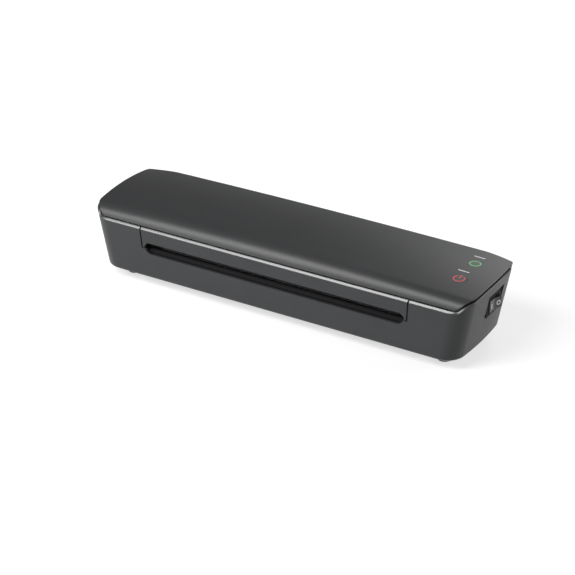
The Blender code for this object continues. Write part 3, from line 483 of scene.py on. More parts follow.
def lid_sheet(name, grow=0.0, columns=48, rows=72):
    """The arched lid wall, or with grow the room that it needs."""
    size, lid = housing_sizes(), lid_sizes()
    front, rear = lid.front, lid_rear()
    overlap = 2 * MM
    reach = size.half_length + size.bow + overlap

    def spot(i, j):
        y = (front + rear) / 2 - (rear - front) / 2 * math.cos(math.pi * j / rows)
        x = reach * math.sin(math.pi / 2 * (2 * i / columns - 1))
        return x, drawn_in(x, y), lid_top(x, y)

    sheet = draped_grid(name, columns, rows, spot)
    thickness = lid.wall + 2 * grow
    apply_modifier(sheet, 'SOLIDIFY', thickness=thickness, offset=2 * grow / thickness - 1,
                   use_even_offset=True)
    outline = [(x, drawn_in(x, y)) for x, y in lid_plan(-grow)]
    combine(sheet, 'INTERSECT', prism(name + "_trim", outline, low=40 * MM, high=80 * MM, axis='Z'))
    return sheet


# Section of the rim's outer edge, as shares of its rounding: inwards and down
RIM_SECTION = ((0.0, 1.0), (0.03, 0.88), (0.13, 0.72), (0.66, 0.12), (0.84, 0.03), (1.0, 0.0))

# Lower edge of the walls in millimetres: out from the underside and up, then in from the walls and down
UNDERSIDE_SECTION = ((-0.8, 0.0), (0.2, 0.15), (0.9, 0.55))
FOOT_SECTION = ((1.6, 2.4), (0.9, 1.9), (0.4, 1.3), (0.1, 0.6), (0.0, 0.0))


def housing_skin(name):
    """The housing's walls before its openings are cut."""
    size, controls = housing_sizes(), control_sizes()
    rim_flat, floor_setback, cavity_rise = 4 * MM, 0.6 * MM, 20 * MM
    rings = [[(x, y, size.pan + rise * MM) for x, y in base_plan(size.pan_inset - outset * MM)]
             for outset, rise in UNDERSIDE_SECTION]
    rings += [[(x, y, size.base - drop * MM) for x, y in base_plan(inset * MM)]
              for inset, drop in FOOT_SECTION]
    outer, inner, heights = rim_plan(), rim_plan(size.rim_round), rim_heights()
    for share_in, share_down in RIM_SECTION:
        ring = []
        for (x0, y0), (x1, y1), z in zip(outer, inner, heights):
            sideways = min(1.0, abs(x0 - x1) / size.rim_round)
            radius = size.rim_round + (size.end_round - size.rim_round) * sideways
            inward = radius / size.rim_round * share_in
            ring.append((x0 + (x1 - x0) * inward, y0 + (y1 - y0) * inward, z - radius * share_down))
        rings.append(ring)
    rings.append([(x, y, z) for (x, y), z in zip(rim_plan(size.rim_round + rim_flat), heights)])
    body = ring_skin(name, rings)
    inner = [[(x, y, size.pan + size.wall) for x, y in base_plan(size.pan_inset + floor_setback)],
             [(x, y, size.base) for x, y in base_plan(size.wall)],
             [(x, y, size.rim) for x, y in rim_plan(size.wall)],
             [(x, y, size.rim + cavity_rise) for x, y in rim_plan(size.wall)]]
    cavity = ring_skin(name + "_cavity", inner)
    floor, wall = controls.pocket_x, size.wall
    back, skirt, reach = 2.2 * MM, 8.4 * MM, 12 * MM
    low = (floor - back, controls.pocket_front - wall, controls.pocket_foot - skirt)
    high = (floor + reach, controls.pocket_rear + wall, controls.pocket_top + wall)
    combine(cavity, 'DIFFERENCE', block(name + "_pocket_back", low, high))
    combine(body, 'DIFFERENCE', cavity)
    return body


def wall_cuts():
    """Where the slots and lip panels cross the front and the rear wall, along Y."""
    size = housing_sizes()
    outside, front_depth, rear_depth = 4 * MM, 8 * MM, 10 * MM
    return {"front": (size.front - outside, size.front + front_depth),
            "rear": (size.rear - rear_depth, size.rear + outside)}


def panel_outline(grow):
    """Front view of a lip panel, grown by a gap all round; its ends reach down beside the slot."""
    size = housing_sizes()
    foot, ear = size.panel_foot_height - grow, size.panel_ear_height - grow
    inner, cut = size.slot_half - grow, size.panel_ear_cut
    above = 6 * MM
    right = [(inner - cut, foot), (inner, foot - cut), (inner, ear), (size.panel_foot + grow, ear),
             (size.panel_top + grow, lid_sizes().edge + above)]
    return mirrored(right)


def slot_outline():
    """Front view of a pouch slot: flat floor and round lower corners."""
    size = housing_sizes()
    wide, tall = size.slot_half - size.slot_floor_half, size.slot_round - size.slot_floor
    right = [(size.slot_floor_half + wide * x, size.slot_round + tall * z)
             for x, z in arc((0, 0), 1, -90, 0, steps=12)]
    above = 2 * MM
    right.append((size.slot_half, size.slot_round + above))
    return mirrored(right)


# Finishes

GLOSS_PLAY = 0.04
PATCH_SCALE = 22.0
RELIEF_DEPTH = 0.3 * MM


def wire(tree, node, inputs):
    """Give a node's inputs, by name or number, a value or another node's output."""
    for key, value in inputs.items():
        if isinstance(value, bpy.types.NodeSocket):
            tree.links.new(value, node.inputs[key])
        else:
            node.inputs[key].default_value = value


def added(tree, kind, inputs, operation=None, output=0):
    """Add a shader node with its inputs wired, and return one of its outputs."""
    node = tree.nodes.new("ShaderNode" + kind)
    if operation:
        node.operation = operation
    wire(tree, node, inputs)
    return node.outputs[output]


def ramp(tree, value, start, end, low, high):
    """A straight ramp from low at start to high at end, level beyond them."""
    limits = {"From Min": start, "From Max": end, "To Min": low, "To Max": high}
    return added(tree, "MapRange", {"Value": value, **limits})


def finish(name, base, roughness, metallic=0.0, grain=1400.0, relief=0.05, variation=0.08,
           stretch=(1, 1, 1), gloss_level=0.5):
    """A solid finish: fine grain in the relief, drifting tone and uneven gloss."""
    material = bpy.data.materials.new(name)
    material.use_nodes = True
    tree = material.node_tree
    place = added(tree, "TexCoord", {}, output="Object")
    mapped = added(tree, "Mapping", {"Vector": place, "Scale": stretch})
    fine = added(tree, "TexNoise", {"Vector": mapped, "Scale": grain, "Detail": 3.0})
    drift = added(tree, "TexNoise", {"Vector": mapped, "Scale": PATCH_SCALE, "Detail": 4.0})
    tone = added(tree, "ValToRGB", {"Fac": drift})
    shares = (1 - variation, 1 + variation)
    for element, position, share in zip(tone.node.color_ramp.elements, (0.3, 0.7), shares):
        element.position = position
        element.color = (*(min(1, c * share) for c in base), 1)
    wire(tree, tree.nodes["Principled BSDF"], {
        "Base Color": tone,
        "Metallic": metallic,
        "Specular IOR Level": gloss_level,
        "Roughness": ramp(tree, fine, 0.0, 1.0, roughness - GLOSS_PLAY, roughness + GLOSS_PLAY),
        "Normal": added(tree, "Bump", {"Strength": relief, "Distance": RELIEF_DEPTH, "Height": fine}),
    })
    return material


def glow(name, base, strength=0.35):
    """A lit symbol: tinted plastic that gives a little light of its own."""
    material = finish(name, base, 0.5, grain=900.0, relief=0.02, variation=0.06, gloss_level=0.15)
    shader = material.node_tree.nodes["Principled BSDF"]
    wire(material.node_tree, shader, {"Emission Color": (*base, 1), "Emission Strength": strength})
    return material


# Stage

WHITE = (1, 1, 1, 1)

# Each light's name, place in metres, width, depth, watts, and how far its width turns away from X
LIGHTS = (
    ("overhead_key", (-0.42, -0.80, 0.94), 1.25, 0.55, 16.5, 0.4),
    ("front_softbox", (-1.15, -1.15, 0.45), 1.4, 1.4, 11.0, 0.0),
    ("side_softbox", (1.15, 1.05, 0.55), 0.9, 0.9, 14.0, 0.0),
    ("rear_softbox", (-0.05, 1.4, 0.9), 0.8, 0.8, 7.0, 0.0),
)
LIGHT_AIM = Vector((0, 0, 0.03))


class LAMINATOR_OT_stage(bpy.types.Operator):
    """Set the floor, the soft lights, the backdrop and the camera"""
    bl_idname = "laminator.stage"
    bl_label = "Set Stage"

    def execute(self, context):
        self.floor()
        self.world(context.scene)
        for light in LIGHTS:
            self.light(*light)
        self.camera(context.scene)
        context.scene.view_settings.view_transform = 'Standard'
        return {'FINISHED'}

    def floor(self):
        """A floor that keeps the shadow and fades to white further off."""
        floor = fresh("studio_floor", bpy.ops.mesh.primitive_grid_add, x_subdivisions=4, y_subdivisions=4,
                      size=8)
        material = finish("pale_floor", colours().floor, 0.9, grain=300.0, relief=0.0, variation=0.01)
        tree = material.node_tree
        plain = tree.nodes["Principled BSDF"].outputs["BSDF"]
        place = added(tree, "TexCoord", {}, output="Object")
        away = added(tree, "VectorMath", {0: place}, 'LENGTH', "Value")
        white = added(tree, "Emission", {"Color": WHITE, "Strength": ramp(tree, away, 0.5, 2.5, 0.64, 1.0)})
        lit = added(tree, "AddShader", {0: plain, 1: white})
        seen = added(tree, "MixShader", {"Fac": self.seen_directly(tree), 1: plain, 2: lit})
        wire(tree, tree.nodes["Material Output"], {"Surface": seen})
        floor.data.materials.append(material)

    def seen_directly(self, tree):
        """One for rays from the camera, or through gloss and glass."""
        path = tree.nodes.new("ShaderNodeLightPath").outputs
        near = added(tree, "Math", {0: path["Is Camera Ray"], 1: path["Is Glossy Ray"]}, 'MAXIMUM')
        return added(tree, "Math", {0: near, 1: path["Is Transmission Ray"]}, 'MAXIMUM')

    def world(self, scene):
        """White surround up to a low height, a dim band above it and a pale overhead panel."""
        world = bpy.data.worlds.new("studio_light")
        scene.world = world
        world.use_nodes = True
        tree = world.node_tree
        ambient = tree.nodes["Background"]
        wire(tree, ambient, {"Color": (0.97, 0.985, 1, 1), "Strength": 0.12})
        place = added(tree, "TexCoord", {}, output="Generated")
        height = added(tree, "SeparateXYZ", {"Vector": place}, output="Z")
        surround = ramp(tree, height, 0.05, 0.32, 1.0, 0.06)
        overhead = ramp(tree, height, 0.52, 0.84, 0.0, 0.6)
        both = added(tree, "Math", {0: surround, 1: overhead}, 'ADD')
        white = added(tree, "Background", {"Color": WHITE, "Strength": both})
        sides = {"Fac": self.seen_directly(tree), 1: ambient.outputs["Background"], 2: white}
        wire(tree, tree.nodes["World Output"], {"Surface": added(tree, "MixShader", sides)})

    def light(self, name, place, width, depth, watts, turn):
        """One oval area light that faces the part."""
        bpy.ops.object.light_add(type='AREA', location=place)
        light = bpy.context.object
        light.name = name
        light.data.shape = 'ELLIPSE'
        light.data.size = width
        light.data.size_y = depth
        light.data.energy = watts
        back = (Vector(place) - LIGHT_AIM).normalized()
        across = Vector((1, turn, 0))
        side = (across - back * back.dot(across)).normalized()
        light.rotation_euler = Matrix((side, back.cross(side), back)).transposed().to_euler()

    def camera(self, scene):
        """The photograph's point of view."""
        target = Vector((-4.91, -11.63, 16.39)) * MM
        turn, rise, distance = math.radians(30.83), math.radians(27.87), 1.690
        back = Vector((math.sin(turn) * math.cos(rise), -math.cos(turn) * math.cos(rise), math.sin(rise)))
        bpy.ops.object.camera_add(location=target + back * distance)
        camera = bpy.context.object
        camera.name = "photo_view"
        camera.rotation_euler = (-back).to_track_quat('-Z', 'Y').to_euler()
        camera.data.sensor_width = 36
        camera.data.lens = 125.6
        camera.data.shift_x = -0.0008
        camera.data.shift_y = -0.0016
        scene.camera = camera


# Casing

EDGE_ROUND = 0.3 * MM
LID_EDGE_ROUND = 0.16 * MM
WINDOW_PLAY = 0.12 * MM


def burnish_rim(piece, burnished):
    """Give the rim's rolled edge its glossier finish, along the front, the rear and round the corners."""
    size = housing_sizes()
    piece.data.materials.append(burnished)
    for face in piece.data.polygons:
        normal, centre = face.normal, face.center
        high = centre.z > size.rim - size.rim_round
        rolled = 0.2 < normal.z < 0.95
        level = math.hypot(normal.x, normal.y)
        along = normal.y * math.copysign(1, centre.y) > 0.4 * level
        if high and rolled and along:
            face.material_index = 1


def undercut_ends(lid):
    """Chamfer the lower edge of the lid's ends, which leaves a dark seam below them."""
    chamfer, facing = 1.1 * MM, 0.6
    sides = {}
    for face in lid.data.polygons:
        for key in face.edge_keys:
            sides.setdefault(key, []).append(face.normal.copy())
    activate(lid)
    bpy.ops.object.mode_set(mode='EDIT')
    bpy.ops.mesh.select_mode(type='EDGE')
    bpy.ops.mesh.select_all(action='DESELECT')
    bpy.ops.object.mode_set(mode='OBJECT')
    for edge in lid.data.edges:
        normals = sides[tuple(sorted(edge.vertices))]
        below = min(normal.z for normal in normals) < -facing
        outwards = max(abs(normal.x) for normal in normals) > facing
        edge.select = below and outwards
    bpy.ops.object.mode_set(mode='EDIT')
    bpy.ops.mesh.bevel(offset=chamfer, segments=1, affect='EDGES')
    bpy.ops.object.mode_set(mode='OBJECT')


class LAMINATOR_OT_housing(bpy.types.Operator):
    """Mould the lower housing with its slot, exit, switch pocket, vents and screw holes"""
    bl_idname = "laminator.housing"
    bl_label = "Mould Housing"

    def execute(self, context):
        housing = housing_skin("housing_shell")
        for span in wall_cuts().values():
            combine(housing, 'DIFFERENCE',
                    prism("panel_room", panel_outline(housing_sizes().panel_gap), *span, 'Y'),
                    prism("slot_mouth", slot_outline(), *span, 'Y'))
        combine(housing, 'DIFFERENCE', self.pocket(),
                switch_block("switch_hole", back=-8 * MM, front=4 * MM, half_y=10.2 * MM, half_z=6.9 * MM),
                self.vents(), self.screw_holes(),
                turned("gland_hole", [(6.3 * MM, -12 * MM), (6.3 * MM, 12 * MM)], gland_place(), steps=32),
                lid_sheet("lid_room", grow=GAP, columns=24, rows=48))
        soften(housing, EDGE_ROUND)
        charcoal = finish("charcoal_housing", colours().housing, 0.42, gloss_level=0.3)
        burnished = finish("burnished_rim", colours().housing, 0.26, relief=0.01, gloss_level=0.8)
        settle(housing, "chassis", "charcoal_housing", charcoal, "lower_housing")
        burnish_rim(housing, burnished)
        return {'FINISHED'}

    def pocket(self):
        """The pocket in the right end wall that the switch stands in."""
        controls = control_sizes()
        return block("switch_pocket", (controls.pocket_x, controls.pocket_front, controls.pocket_foot),
                     (controls.pocket_x + 14 * MM, controls.pocket_rear, controls.pocket_top))

    def vents(self):
        """Two rows of slots through the underside."""
        half_width, half_length, pitch = 1.5 * MM, 10 * MM, 16 * MM
        low, high = housing_sizes().pan - 2 * MM, housing_sizes().pan + 6 * MM
        return joined([block("vent", (number * pitch - half_width, y - half_length, low),
                             (number * pitch + half_width, y + half_length, high))
                       for y in (-18 * MM, 12 * MM) for number in range(-6, 7)])

    def screw_holes(self):
        """Holes through the underside for the case screws."""
        profile = [(1.9 * MM, 3 * MM), (1.9 * MM, 11 * MM)]
        return joined([turned("screw_hole", profile, Matrix.Translation((x, y, 0)), steps=20)
                       for x, y in screw_places()])


class LAMINATOR_OT_lip_panels(bpy.types.Operator):
    """Mould the lip panels above the entry slot and above the exit, in the housing's own finishes"""
    bl_idname = "laminator.lip_panels"
    bl_label = "Mould Lip Panels"

    def execute(self, context):
        charcoal, burnished = bpy.data.objects["housing_shell"].data.materials
        for side, span in wall_cuts().items():
            panel = housing_skin(side + "_lip")
            combine(panel, 'INTERSECT', prism("panel_limit", panel_outline(0), *span, 'Y'))
            soften(panel, EDGE_ROUND)
            settle(panel, "chassis", "charcoal_housing", charcoal, side + "_lip_panel")
            burnish_rim(panel, burnished)
        return {'FINISHED'}


class LAMINATOR_OT_lid(bpy.types.Operator):
    """Mould the arched lid with its lamp holes"""
    bl_idname = "laminator.lid"
    bl_label = "Mould Lid"

    def execute(self, context):
        controls = control_sizes()
        lid = lid_sheet("lid_shell", columns=72, rows=96)
        radius = controls.window + WINDOW_PLAY
        profile = [(radius, 60 * MM), (radius, 74 * MM)]
        combine(lid, 'DIFFERENCE', *[
            turned("lamp_hole", profile, Matrix.Translation((controls.lamp_x, y, 0)), steps=64)
            for y in (controls.ready_y, controls.power_y)])
        undercut_ends(lid)
        soften(lid, LID_EDGE_ROUND)
        # Darker than the housing's charcoal, as painted shade for the lid's top
        charcoal = finish("charcoal_lid", colours().lid, 0.4, grain=1800.0, relief=0.03, gloss_level=0.4)
        settle(lid, "chassis", "charcoal_lid", charcoal, "top_cover")
        return {'FINISHED'}


# Controls

# Pale bars by the lamps: middle from the lamp along X and Y, half length and half width
BAR_SHIFT = -2.0 * MM
BAR_BEHIND = 12.6 * MM
BAR_HALF_LENGTH = 4.9 * MM
BAR_HALF_WIDTH = 0.5 * MM

# Rocker: half length along Y, half height along Z, and its face over the pivot at the middle
ROCKER_HALF = 8.2 * MM
ROCKER_HIGH = 5.1 * MM
ROCKER_FACE = 3.6 * MM

# On and off marks: distance from the rocker's middle, ring radius and half stroke, bar half width and length
MARK_OFFSET = 4.6 * MM
OFF_RADIUS = 1.75 * MM
OFF_HALF_STROKE = 0.4 * MM
ON_HALF_WIDTH = 0.55 * MM
ON_LENGTH = 4.6 * MM
MARK_PROUD = 0.04 * MM


def close_seam(piece):
    """Weld doubled vertices and face the piece upwards."""
    close_skin(piece, capped=False)
    if piece.data.polygons[0].normal.z < 0:
        piece.data.flip_normals()


def inlay(name, columns, rows, plan_spot, proud=0.06 * MM, thickness=0.5 * MM):
    """A thin piece let into the lid's face; plan_spot(i, j) gives its outline in plan."""
    def spot(i, j):
        x, y = plan_spot(i, j)
        return x, y, lid_top(x, y) + proud
    piece = draped_grid(name, columns, rows, spot)
    close_seam(piece)
    apply_modifier(piece, 'SOLIDIFY', thickness=thickness, offset=-1)
    return piece


class LAMINATOR_OT_lamps(bpy.types.Operator):
    """Set the lamp windows, their lit symbols and the pale bars behind them"""
    bl_idname = "laminator.lamps"
    bl_label = "Set Lamps"

    def execute(self, context):
        controls, paint = control_sizes(), colours()
        window = finish("lamp_window", paint.lid, 0.34, grain=1800.0, relief=0.03)
        ink = finish("pale_print", paint.ink, 0.5, grain=2500.0, relief=0.02, variation=0.04)
        for lamp, y in (("ready", controls.ready_y), ("power", controls.power_y)):
            self.window(lamp, y, window)
            self.bar(lamp, y, ink)
        green = glow("ready_glow", paint.green)
        red = glow("power_glow", paint.red)
        self.stroke("ready_symbol", controls.ready_y, green, "led_green")
        self.stroke("power_symbol", controls.power_y, red, "led_red", start=128, end=412, steps=64)
        self.stem(red)
        return {'FINISHED'}

    def window(self, lamp, y, material, steps=48, rings=6):
        """A round window, flush with the lid."""
        controls = control_sizes()

        def spot(i, j):
            turn = 2 * math.pi * i / steps
            radius = controls.window * j / rings
            return controls.lamp_x + radius * math.cos(turn), y + radius * math.sin(turn)

        piece = inlay(lamp + "_window", steps, rings, spot, proud=0.0, thickness=2.0 * MM)
        shade(piece, SMOOTH_BELOW)
        settle(piece, "chassis", "lamp_window", material, lamp + "_lens")

    def bar(self, lamp, y, ink):
        """A pale bar in place of print."""
        x = control_sizes().lamp_x + BAR_SHIFT

        def spot(i, j):
            return x + (i / 8 - 1) * BAR_HALF_LENGTH, y + BAR_BEHIND + (j - 1) * BAR_HALF_WIDTH

        piece = inlay(lamp + "_bar", 16, 2, spot, proud=0.03 * MM, thickness=0.1 * MM)
        settle(piece, "chassis", "lamp_window", ink)

    def stroke(self, name, y, material, slot, start=0, end=360, steps=72):
        """A lit line round a lamp from start to end, in degrees."""
        controls = control_sizes()

        def spot(i, j):
            turn = math.radians(start + (end - start) * i / steps)
            radius = controls.ring + (j - 1) * controls.stroke / 2
            return controls.lamp_x + radius * math.cos(turn), y + radius * math.sin(turn)

        piece = inlay(name, steps, 2, spot)
        settle(piece, "chassis", slot, material)

    def stem(self, red):
        """The upright line of the power symbol."""
        controls = control_sizes()
        half = controls.stroke / 2
        foot, rise = 0.1, 1.15

        def spot(i, j):
            return controls.lamp_x + (i - 1) * half, controls.power_y + controls.ring * (foot + rise * j / 8)

        settle(inlay("power_symbol_stem", 2, 8, spot), "chassis", "led_red", red)


def switch_block(name, back, front, half_y, half_z):
    """A block round the switch's middle; back and front are counted from the pocket's floor."""
    controls = control_sizes()
    x, y, z = controls.pocket_x, controls.switch_y, controls.switch_z
    return block(name, (x + back, y - half_y, z - half_z), (x + front, y + half_y, z + half_z))


class LAMINATOR_OT_switch(bpy.types.Operator):
    """Build the rocker switch with its bezel and its on and off marks"""
    bl_idname = "laminator.switch"
    bl_label = "Build Switch"

    def execute(self, context):
        paint = colours()
        black = finish("switch_black", paint.switch, 0.3, grain=1600.0, relief=0.02)
        # Near-black for the case and the bezel; where the bezel covers the pocket floor it is painted shade
        case_black_and_pocket_shade = finish("switch_case_and_pocket_shade", paint.guide, 0.6, grain=1600.0, relief=0.05, gloss_level=0.08)
        ink = finish("rocker_print", paint.rocker_ink, 0.5, grain=2500.0, relief=0.02, variation=0.03)
        self.body(case_black_and_pocket_shade)
        self.rocker(black)
        self.marks(ink)
        return {'FINISHED'}

    def body(self, material):
        """The case with its bezel, and the well that the rocker tilts in; the dull black bezel spreads over
        the whole pocket floor as painted shade of the pocket.
        """
        controls = control_sizes()
        x = controls.pocket_x + GAP
        body = switch_block("switch_case", back=-18 * MM, front=controls.bezel,
                            half_y=9.9 * MM, half_z=6.6 * MM)
        # The bezel covers the pocket's floor from front to rear and from its foot to the top, as painted
        # shade of the pocket
        bezel = block("switch_bezel", (x, controls.pocket_front + GAP, controls.bezel_foot),
                      (x + controls.bezel, controls.pocket_rear - GAP, controls.pocket_top - GAP))
        apply_modifier(bezel, 'BEVEL', width=0.3 * MM, segments=3, limit_method='ANGLE')
        combine(body, 'UNION', bezel)
        well = switch_block("switch_well", back=-13 * MM, front=5 * MM, half_y=9.2 * MM, half_z=5.5 * MM)
        combine(body, 'DIFFERENCE', well)
        soften(body, 0.2 * MM)
        settle(body, "chassis", "switch_black", material, "switch_body")

    def place(self):
        """Frame of the rocker at rest, with X out of the case."""
        controls = control_sizes()
        return (Matrix.Translation((controls.pivot_x, controls.switch_y, controls.switch_z))
                @ Matrix.Rotation(-controls.tilt, 4, 'Z'))

    def face(self, y):
        """Height of the rocker's face over its pivot."""
        return ROCKER_FACE + abs(y) * math.tan(control_sizes().tilt)

    def rocker(self, material):
        """The rocker with its pin: two flat faces in front and a round belly behind."""
        heel, margin = -2 * MM, 1 * MM
        front = [(self.face(ROCKER_HALF * k / 12), ROCKER_HALF * k / 12) for k in range(-12, 13)]
        belly = [(x, y) for x, y in arc((0, 0), 8 * MM, 132, 228, steps=12) if abs(y) < ROCKER_HALF - margin]
        outline = front + [(heel, ROCKER_HALF)] + belly + [(heel, -ROCKER_HALF)]
        rocker = prism("rocker", outline, -ROCKER_HIGH, ROCKER_HIGH, 'Z')
        soften(rocker, width=0.45 * MM, sharper_than=30.0, segments=3)
        pin_radius, pin_reach = 1.2 * MM, 5.9 * MM
        profile = [(pin_radius, -pin_reach), (pin_radius, pin_reach)]
        pin = turned("rocker_pin", profile, Matrix.Identity(4), steps=24)
        combine(rocker, 'UNION', pin)
        rocker.data.transform(self.place())
        settle(rocker, "switch_rocker", "switch_black", material, "switch_rocker")

    def marks(self, ink):
        """The ring for off and the bar for on."""
        place = self.place()

        def on_face(y, z):
            return place @ Vector((self.face(y) + MARK_PROUD, y, z))

        def ring_spot(i, j):
            turn = 2 * math.pi * i / 40
            radius = OFF_RADIUS + OFF_HALF_STROKE * (j - 1)
            return on_face(MARK_OFFSET + radius * math.cos(turn), radius * math.sin(turn))

        def bar_spot(i, j):
            return on_face(-MARK_OFFSET + (i - 1) * ON_HALF_WIDTH, (j / 4 - 0.5) * ON_LENGTH)

        for piece in (draped_grid("off_mark", 40, 2, ring_spot), draped_grid("on_mark", 2, 4, bar_spot)):
            close_seam(piece)
            apply_modifier(piece, 'SOLIDIFY', thickness=0.12 * MM, offset=0)
            settle(piece, "switch_rocker", "switch_black", ink)


# Fittings

TURNED_BELOW = 35.0
FOOT_X = 151 * MM
FOOT_Y = 27 * MM
GLAND_X = 140 * MM
GLAND_HEIGHT = 24 * MM

# Half sections as (radius, height) in millimetres; the screw's heights are counted from SCREW_HEAD
SCREW_HEAD = 4.7
FOOT_PROFILE = ((0.0, 4.7), (6.0, 4.7), (6.0, 0.8), (5.7, 0.25), (5.2, 0.0), (3.4, 0.0), (3.0, 0.5),
                (0.0, 0.5))
SCREW_PROFILE = ((0.0, 12), (1.2, 12), (1.5, 11.5), (1.5, 0), (3.2, 0), (3.2, -0.5), (2.6, -1.4),
                 (1.4, -1.75), (0.0, -1.8))
GLAND_PROFILE = ((3.6, 1.9), (7.4, 1.9), (7.85, 1.7), (8.0, 1.3), (8.0, 0.3), (6.0, 0.3), (6.0, -6.0),
                 (3.6, -6.0), (3.6, 1.9))


def screw_places():
    """The four screws under the case, in plan."""
    return [(138 * MM, -33.5 * MM), (-138 * MM, -33.5 * MM), (140 * MM, 29 * MM), (-140 * MM, 29 * MM)]


def gland_place():
    """Frame on the rear wall's outer face, with Z along the wall's normal."""
    size = housing_sizes()
    share = (GLAND_HEIGHT - size.base) / (size.rim - size.rim_round - size.base)
    y = size.base_rear + (size.rear - size.base_rear) * share
    lean = math.atan2(size.rear - size.base_rear, size.rim - size.base)
    return Matrix.Translation((GLAND_X, y, GLAND_HEIGHT)) @ Matrix.Rotation(-math.pi / 2 - lean, 4, 'X')


def in_metres(profile, rise=0.0):
    """A half section given in millimetres, raised by a height."""
    return [(radius * MM, (rise + height) * MM) for radius, height in profile]


class LAMINATOR_OT_feet(bpy.types.Operator):
    """Turn the four rubber feet"""
    bl_idname = "laminator.feet"
    bl_label = "Turn Feet"

    def execute(self, context):
        rubber = finish("foot_rubber", colours().rubber, 0.75, grain=900.0, relief=0.12)
        first = turned("pad", in_metres(FOOT_PROFILE), Matrix.Identity(4), steps=40)
        shade(first, TURNED_BELOW)
        for side, x in (("left", -FOOT_X), ("right", FOOT_X)):
            for end, y in (("front", -FOOT_Y), ("rear", FOOT_Y)):
                foot = copied(first, "pad_%s_%s" % (end, side), (x, y, 0))
                settle(foot, "chassis", "foot_rubber", rubber, "foot_%s_%s" % (end, side))
        bpy.data.objects.remove(first, do_unlink=True)
        return {'FINISHED'}


class LAMINATOR_OT_screws(bpy.types.Operator):
    """Turn the four case screws and cut the cross in their heads"""
    bl_idname = "laminator.screws"
    bl_label = "Turn Screws"

    def execute(self, context):
        steel = finish("turned_screw", colours().steel, 0.32, metallic=1.0, grain=700.0, stretch=(1, 1, 8))
        first = turned("screw", in_metres(SCREW_PROFILE, SCREW_HEAD), Matrix.Identity(4), steps=28)
        combine(first, 'DIFFERENCE', *self.cross())
        shade(first, TURNED_BELOW)
        for number, (x, y) in enumerate(screw_places(), 1):
            screw = copied(first, "screw_%d" % number, (x, y, 0))
            settle(screw, "chassis", "turned_steel", steel, "case_screw_%d" % number)
        bpy.data.objects.remove(first, do_unlink=True)
        return {'FINISHED'}

    def cross(self):
        """Two crossed blades that cut the head from below."""
        long, thin = 1.7 * MM, 0.3 * MM
        low, high = (SCREW_HEAD - 2.6) * MM, (SCREW_HEAD - 1.0) * MM
        return [block("drive", (-half_x, -half_y, low), (half_x, half_y, high))
                for half_x, half_y in ((long, thin), (thin, long))]


class LAMINATOR_OT_gland(bpy.types.Operator):
    """Turn the cord gland in the rear wall"""
    bl_idname = "laminator.gland"
    bl_label = "Turn Gland"

    def execute(self, context):
        gland = turned("gland_bush", in_metres(GLAND_PROFILE), gland_place(), steps=48)
        shade(gland, TURNED_BELOW)
        settle(gland, "chassis", "black_guide", finish("gland_black", colours().guide, 0.5), "cord_gland")
        return {'FINISHED'}


# Mechanism


class LAMINATOR_OT_springs(bpy.types.Operator):
    """Wind the nip springs at their rest length, each filling its spring's box; in the laminator they shorten
    as the upper roller lifts, which these fixed coils do not
    """
    bl_idname = "laminator.springs"
    bl_label = "Wind Springs"

    def execute(self, context):
        steel = finish("spring_steel", colours().steel, 0.3, metallic=1.0, grain=700.0)
        for side in ("left", "right"):
            node = "nip_spring_" + side
            low, high = (Vector(corner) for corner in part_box(node))
            coil = self.coil("coil_" + side, low, high)
            settle(coil, "chassis", "turned_steel", steel, node)
            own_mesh(coil)
        return {'FINISHED'}

    def coil(self, name, low, high, turns=4, steps=16, sides=8, wire=0.4 * MM):
        """A round wire wound between two corners of a box."""
        middle = (low + high) / 2
        radius = (high.y - low.y) / 2 - wire
        section = arc((0, 0), wire, 0, 360, sides)[:-1]
        rings = []
        for k in range(turns * steps + 1):
            turn = 2 * math.pi * k / steps
            outwards = Vector((math.cos(turn), math.sin(turn), 0))
            height = low.z + wire + (high.z - low.z - 2 * wire) * k / (turns * steps)
            centre = Vector((middle.x, middle.y, height)) + radius * outwards
            rings.append([centre + outwards * a + Vector((0, 0, b)) for a, b in section])
        coil = ring_skin(name, rings)
        shade(coil, 60.0)
        return coil


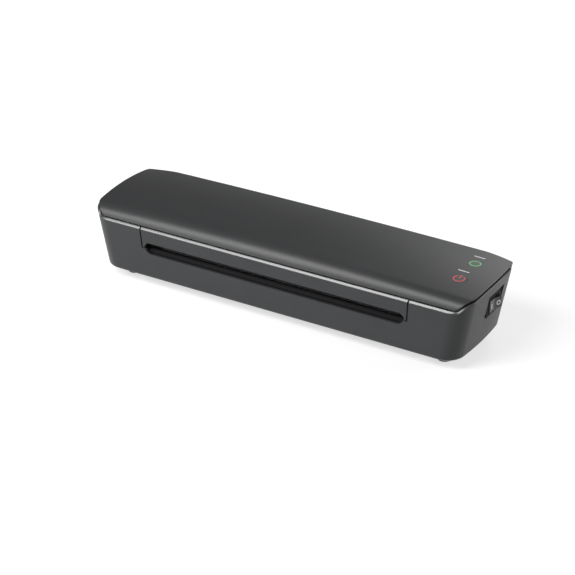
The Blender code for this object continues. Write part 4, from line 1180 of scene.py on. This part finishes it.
class LAMINATOR_OT_mechanism(bpy.types.Operator):
    """Finish the guides, heated shoes, rollers, gears, motor and boards inside the case"""
    bl_idname = "laminator.mechanism"
    bl_label = "Finish Mechanism"

    def execute(self, context):
        finishes = self.finishes(colours())
        slots = {part["node"]: part["material_slot"] for part in frame["record"]["subparts"]}
        for name, node in frame["nodes"].items():
            if node.hide_render:
                continue
            node.data.materials.clear()
            node.data.materials.append(finishes[slots[name]])
        return {'FINISHED'}

    def finishes(self, paint):
        """The finish of each material slot inside the case."""
        return {
            # Near-black guides, darkened further as painted shade inside the slot
            "black_guide": finish("black_guide", paint.guide, 0.65, gloss_level=0.1),
            "zinc_steel": finish("zinc_steel", paint.zinc, 0.38, metallic=1.0, grain=260.0, relief=0.04,
                                 variation=0.14),
            "turned_steel": finish("turned_steel", paint.steel, 0.28, metallic=1.0, grain=500.0,
                                   variation=0.06, stretch=(12, 1, 1)),
            "roller_silicone": finish("roller_silicone", paint.silicone, 0.6, grain=1500.0, relief=0.1),
            "white_nylon": finish("white_nylon", paint.nylon, 0.48, variation=0.03),
            # The shoes are darkened as painted shade inside the slot
            "shoe_aluminium": finish("shoe_aluminium", paint.aluminium, 0.55, metallic=1.0, grain=420.0,
                                     relief=0.06, variation=0.06, stretch=(0.08, 6, 6)),
            "heater_mica": finish("heater_mica", paint.mica, 0.7, grain=500.0, relief=0.1, variation=0.2),
            "board_green": finish("board_green", paint.board, 0.4, grain=350.0, relief=0.06, variation=0.3),
            "led_red": finish("led_red", paint.red, 0.25, relief=0.01),
            "led_green": finish("led_green", paint.green, 0.25, relief=0.01),
        }


class LAMINATOR_PT_panel(bpy.types.Panel):
    bl_idname = "LAMINATOR_PT_panel"
    bl_label = "Pouch Laminator"
    bl_space_type = 'VIEW_3D'
    bl_region_type = 'UI'
    bl_category = "Laminator"

    def draw(self, context):
        for step in STEPS:
            self.layout.operator(step.bl_idname)
        for name in GROUPS:
            group = getattr(context.scene, name)
            column = self.layout.column()
            column.label(text=name.replace("_", " ").capitalize())
            for size in group.__annotations__:
                column.prop(group, size)


GROUPS = {"laminator_housing": HousingSizes, "laminator_lid": LidSizes,
          "laminator_controls": ControlSizes, "laminator_colours": FinishColours}
STEPS = (LAMINATOR_OT_stage, LAMINATOR_OT_housing, LAMINATOR_OT_lip_panels, LAMINATOR_OT_lid,
         LAMINATOR_OT_lamps, LAMINATOR_OT_switch, LAMINATOR_OT_feet, LAMINATOR_OT_screws,
         LAMINATOR_OT_gland, LAMINATOR_OT_springs, LAMINATOR_OT_mechanism)
CLASSES = (*GROUPS.values(), *STEPS, LAMINATOR_PT_panel)


def register():
    for item in CLASSES:
        bpy.utils.register_class(item)
    for name, group in GROUPS.items():
        setattr(bpy.types.Scene, name, PointerProperty(type=group))


def unregister():
    for name in GROUPS:
        delattr(bpy.types.Scene, name)
    for item in reversed(CLASSES):
        bpy.utils.unregister_class(item)


def main():
    register()
    bpy.ops.laminator.stage()
    bpy.ops.laminator.housing()
    bpy.ops.laminator.lip_panels()
    bpy.ops.laminator.lid()
    bpy.ops.laminator.lamps()
    bpy.ops.laminator.switch()
    bpy.ops.laminator.feet()
    bpy.ops.laminator.screws()
    bpy.ops.laminator.gland()
    bpy.ops.laminator.springs()
    bpy.ops.laminator.mechanism()


if __name__ == "__main__":
    main()
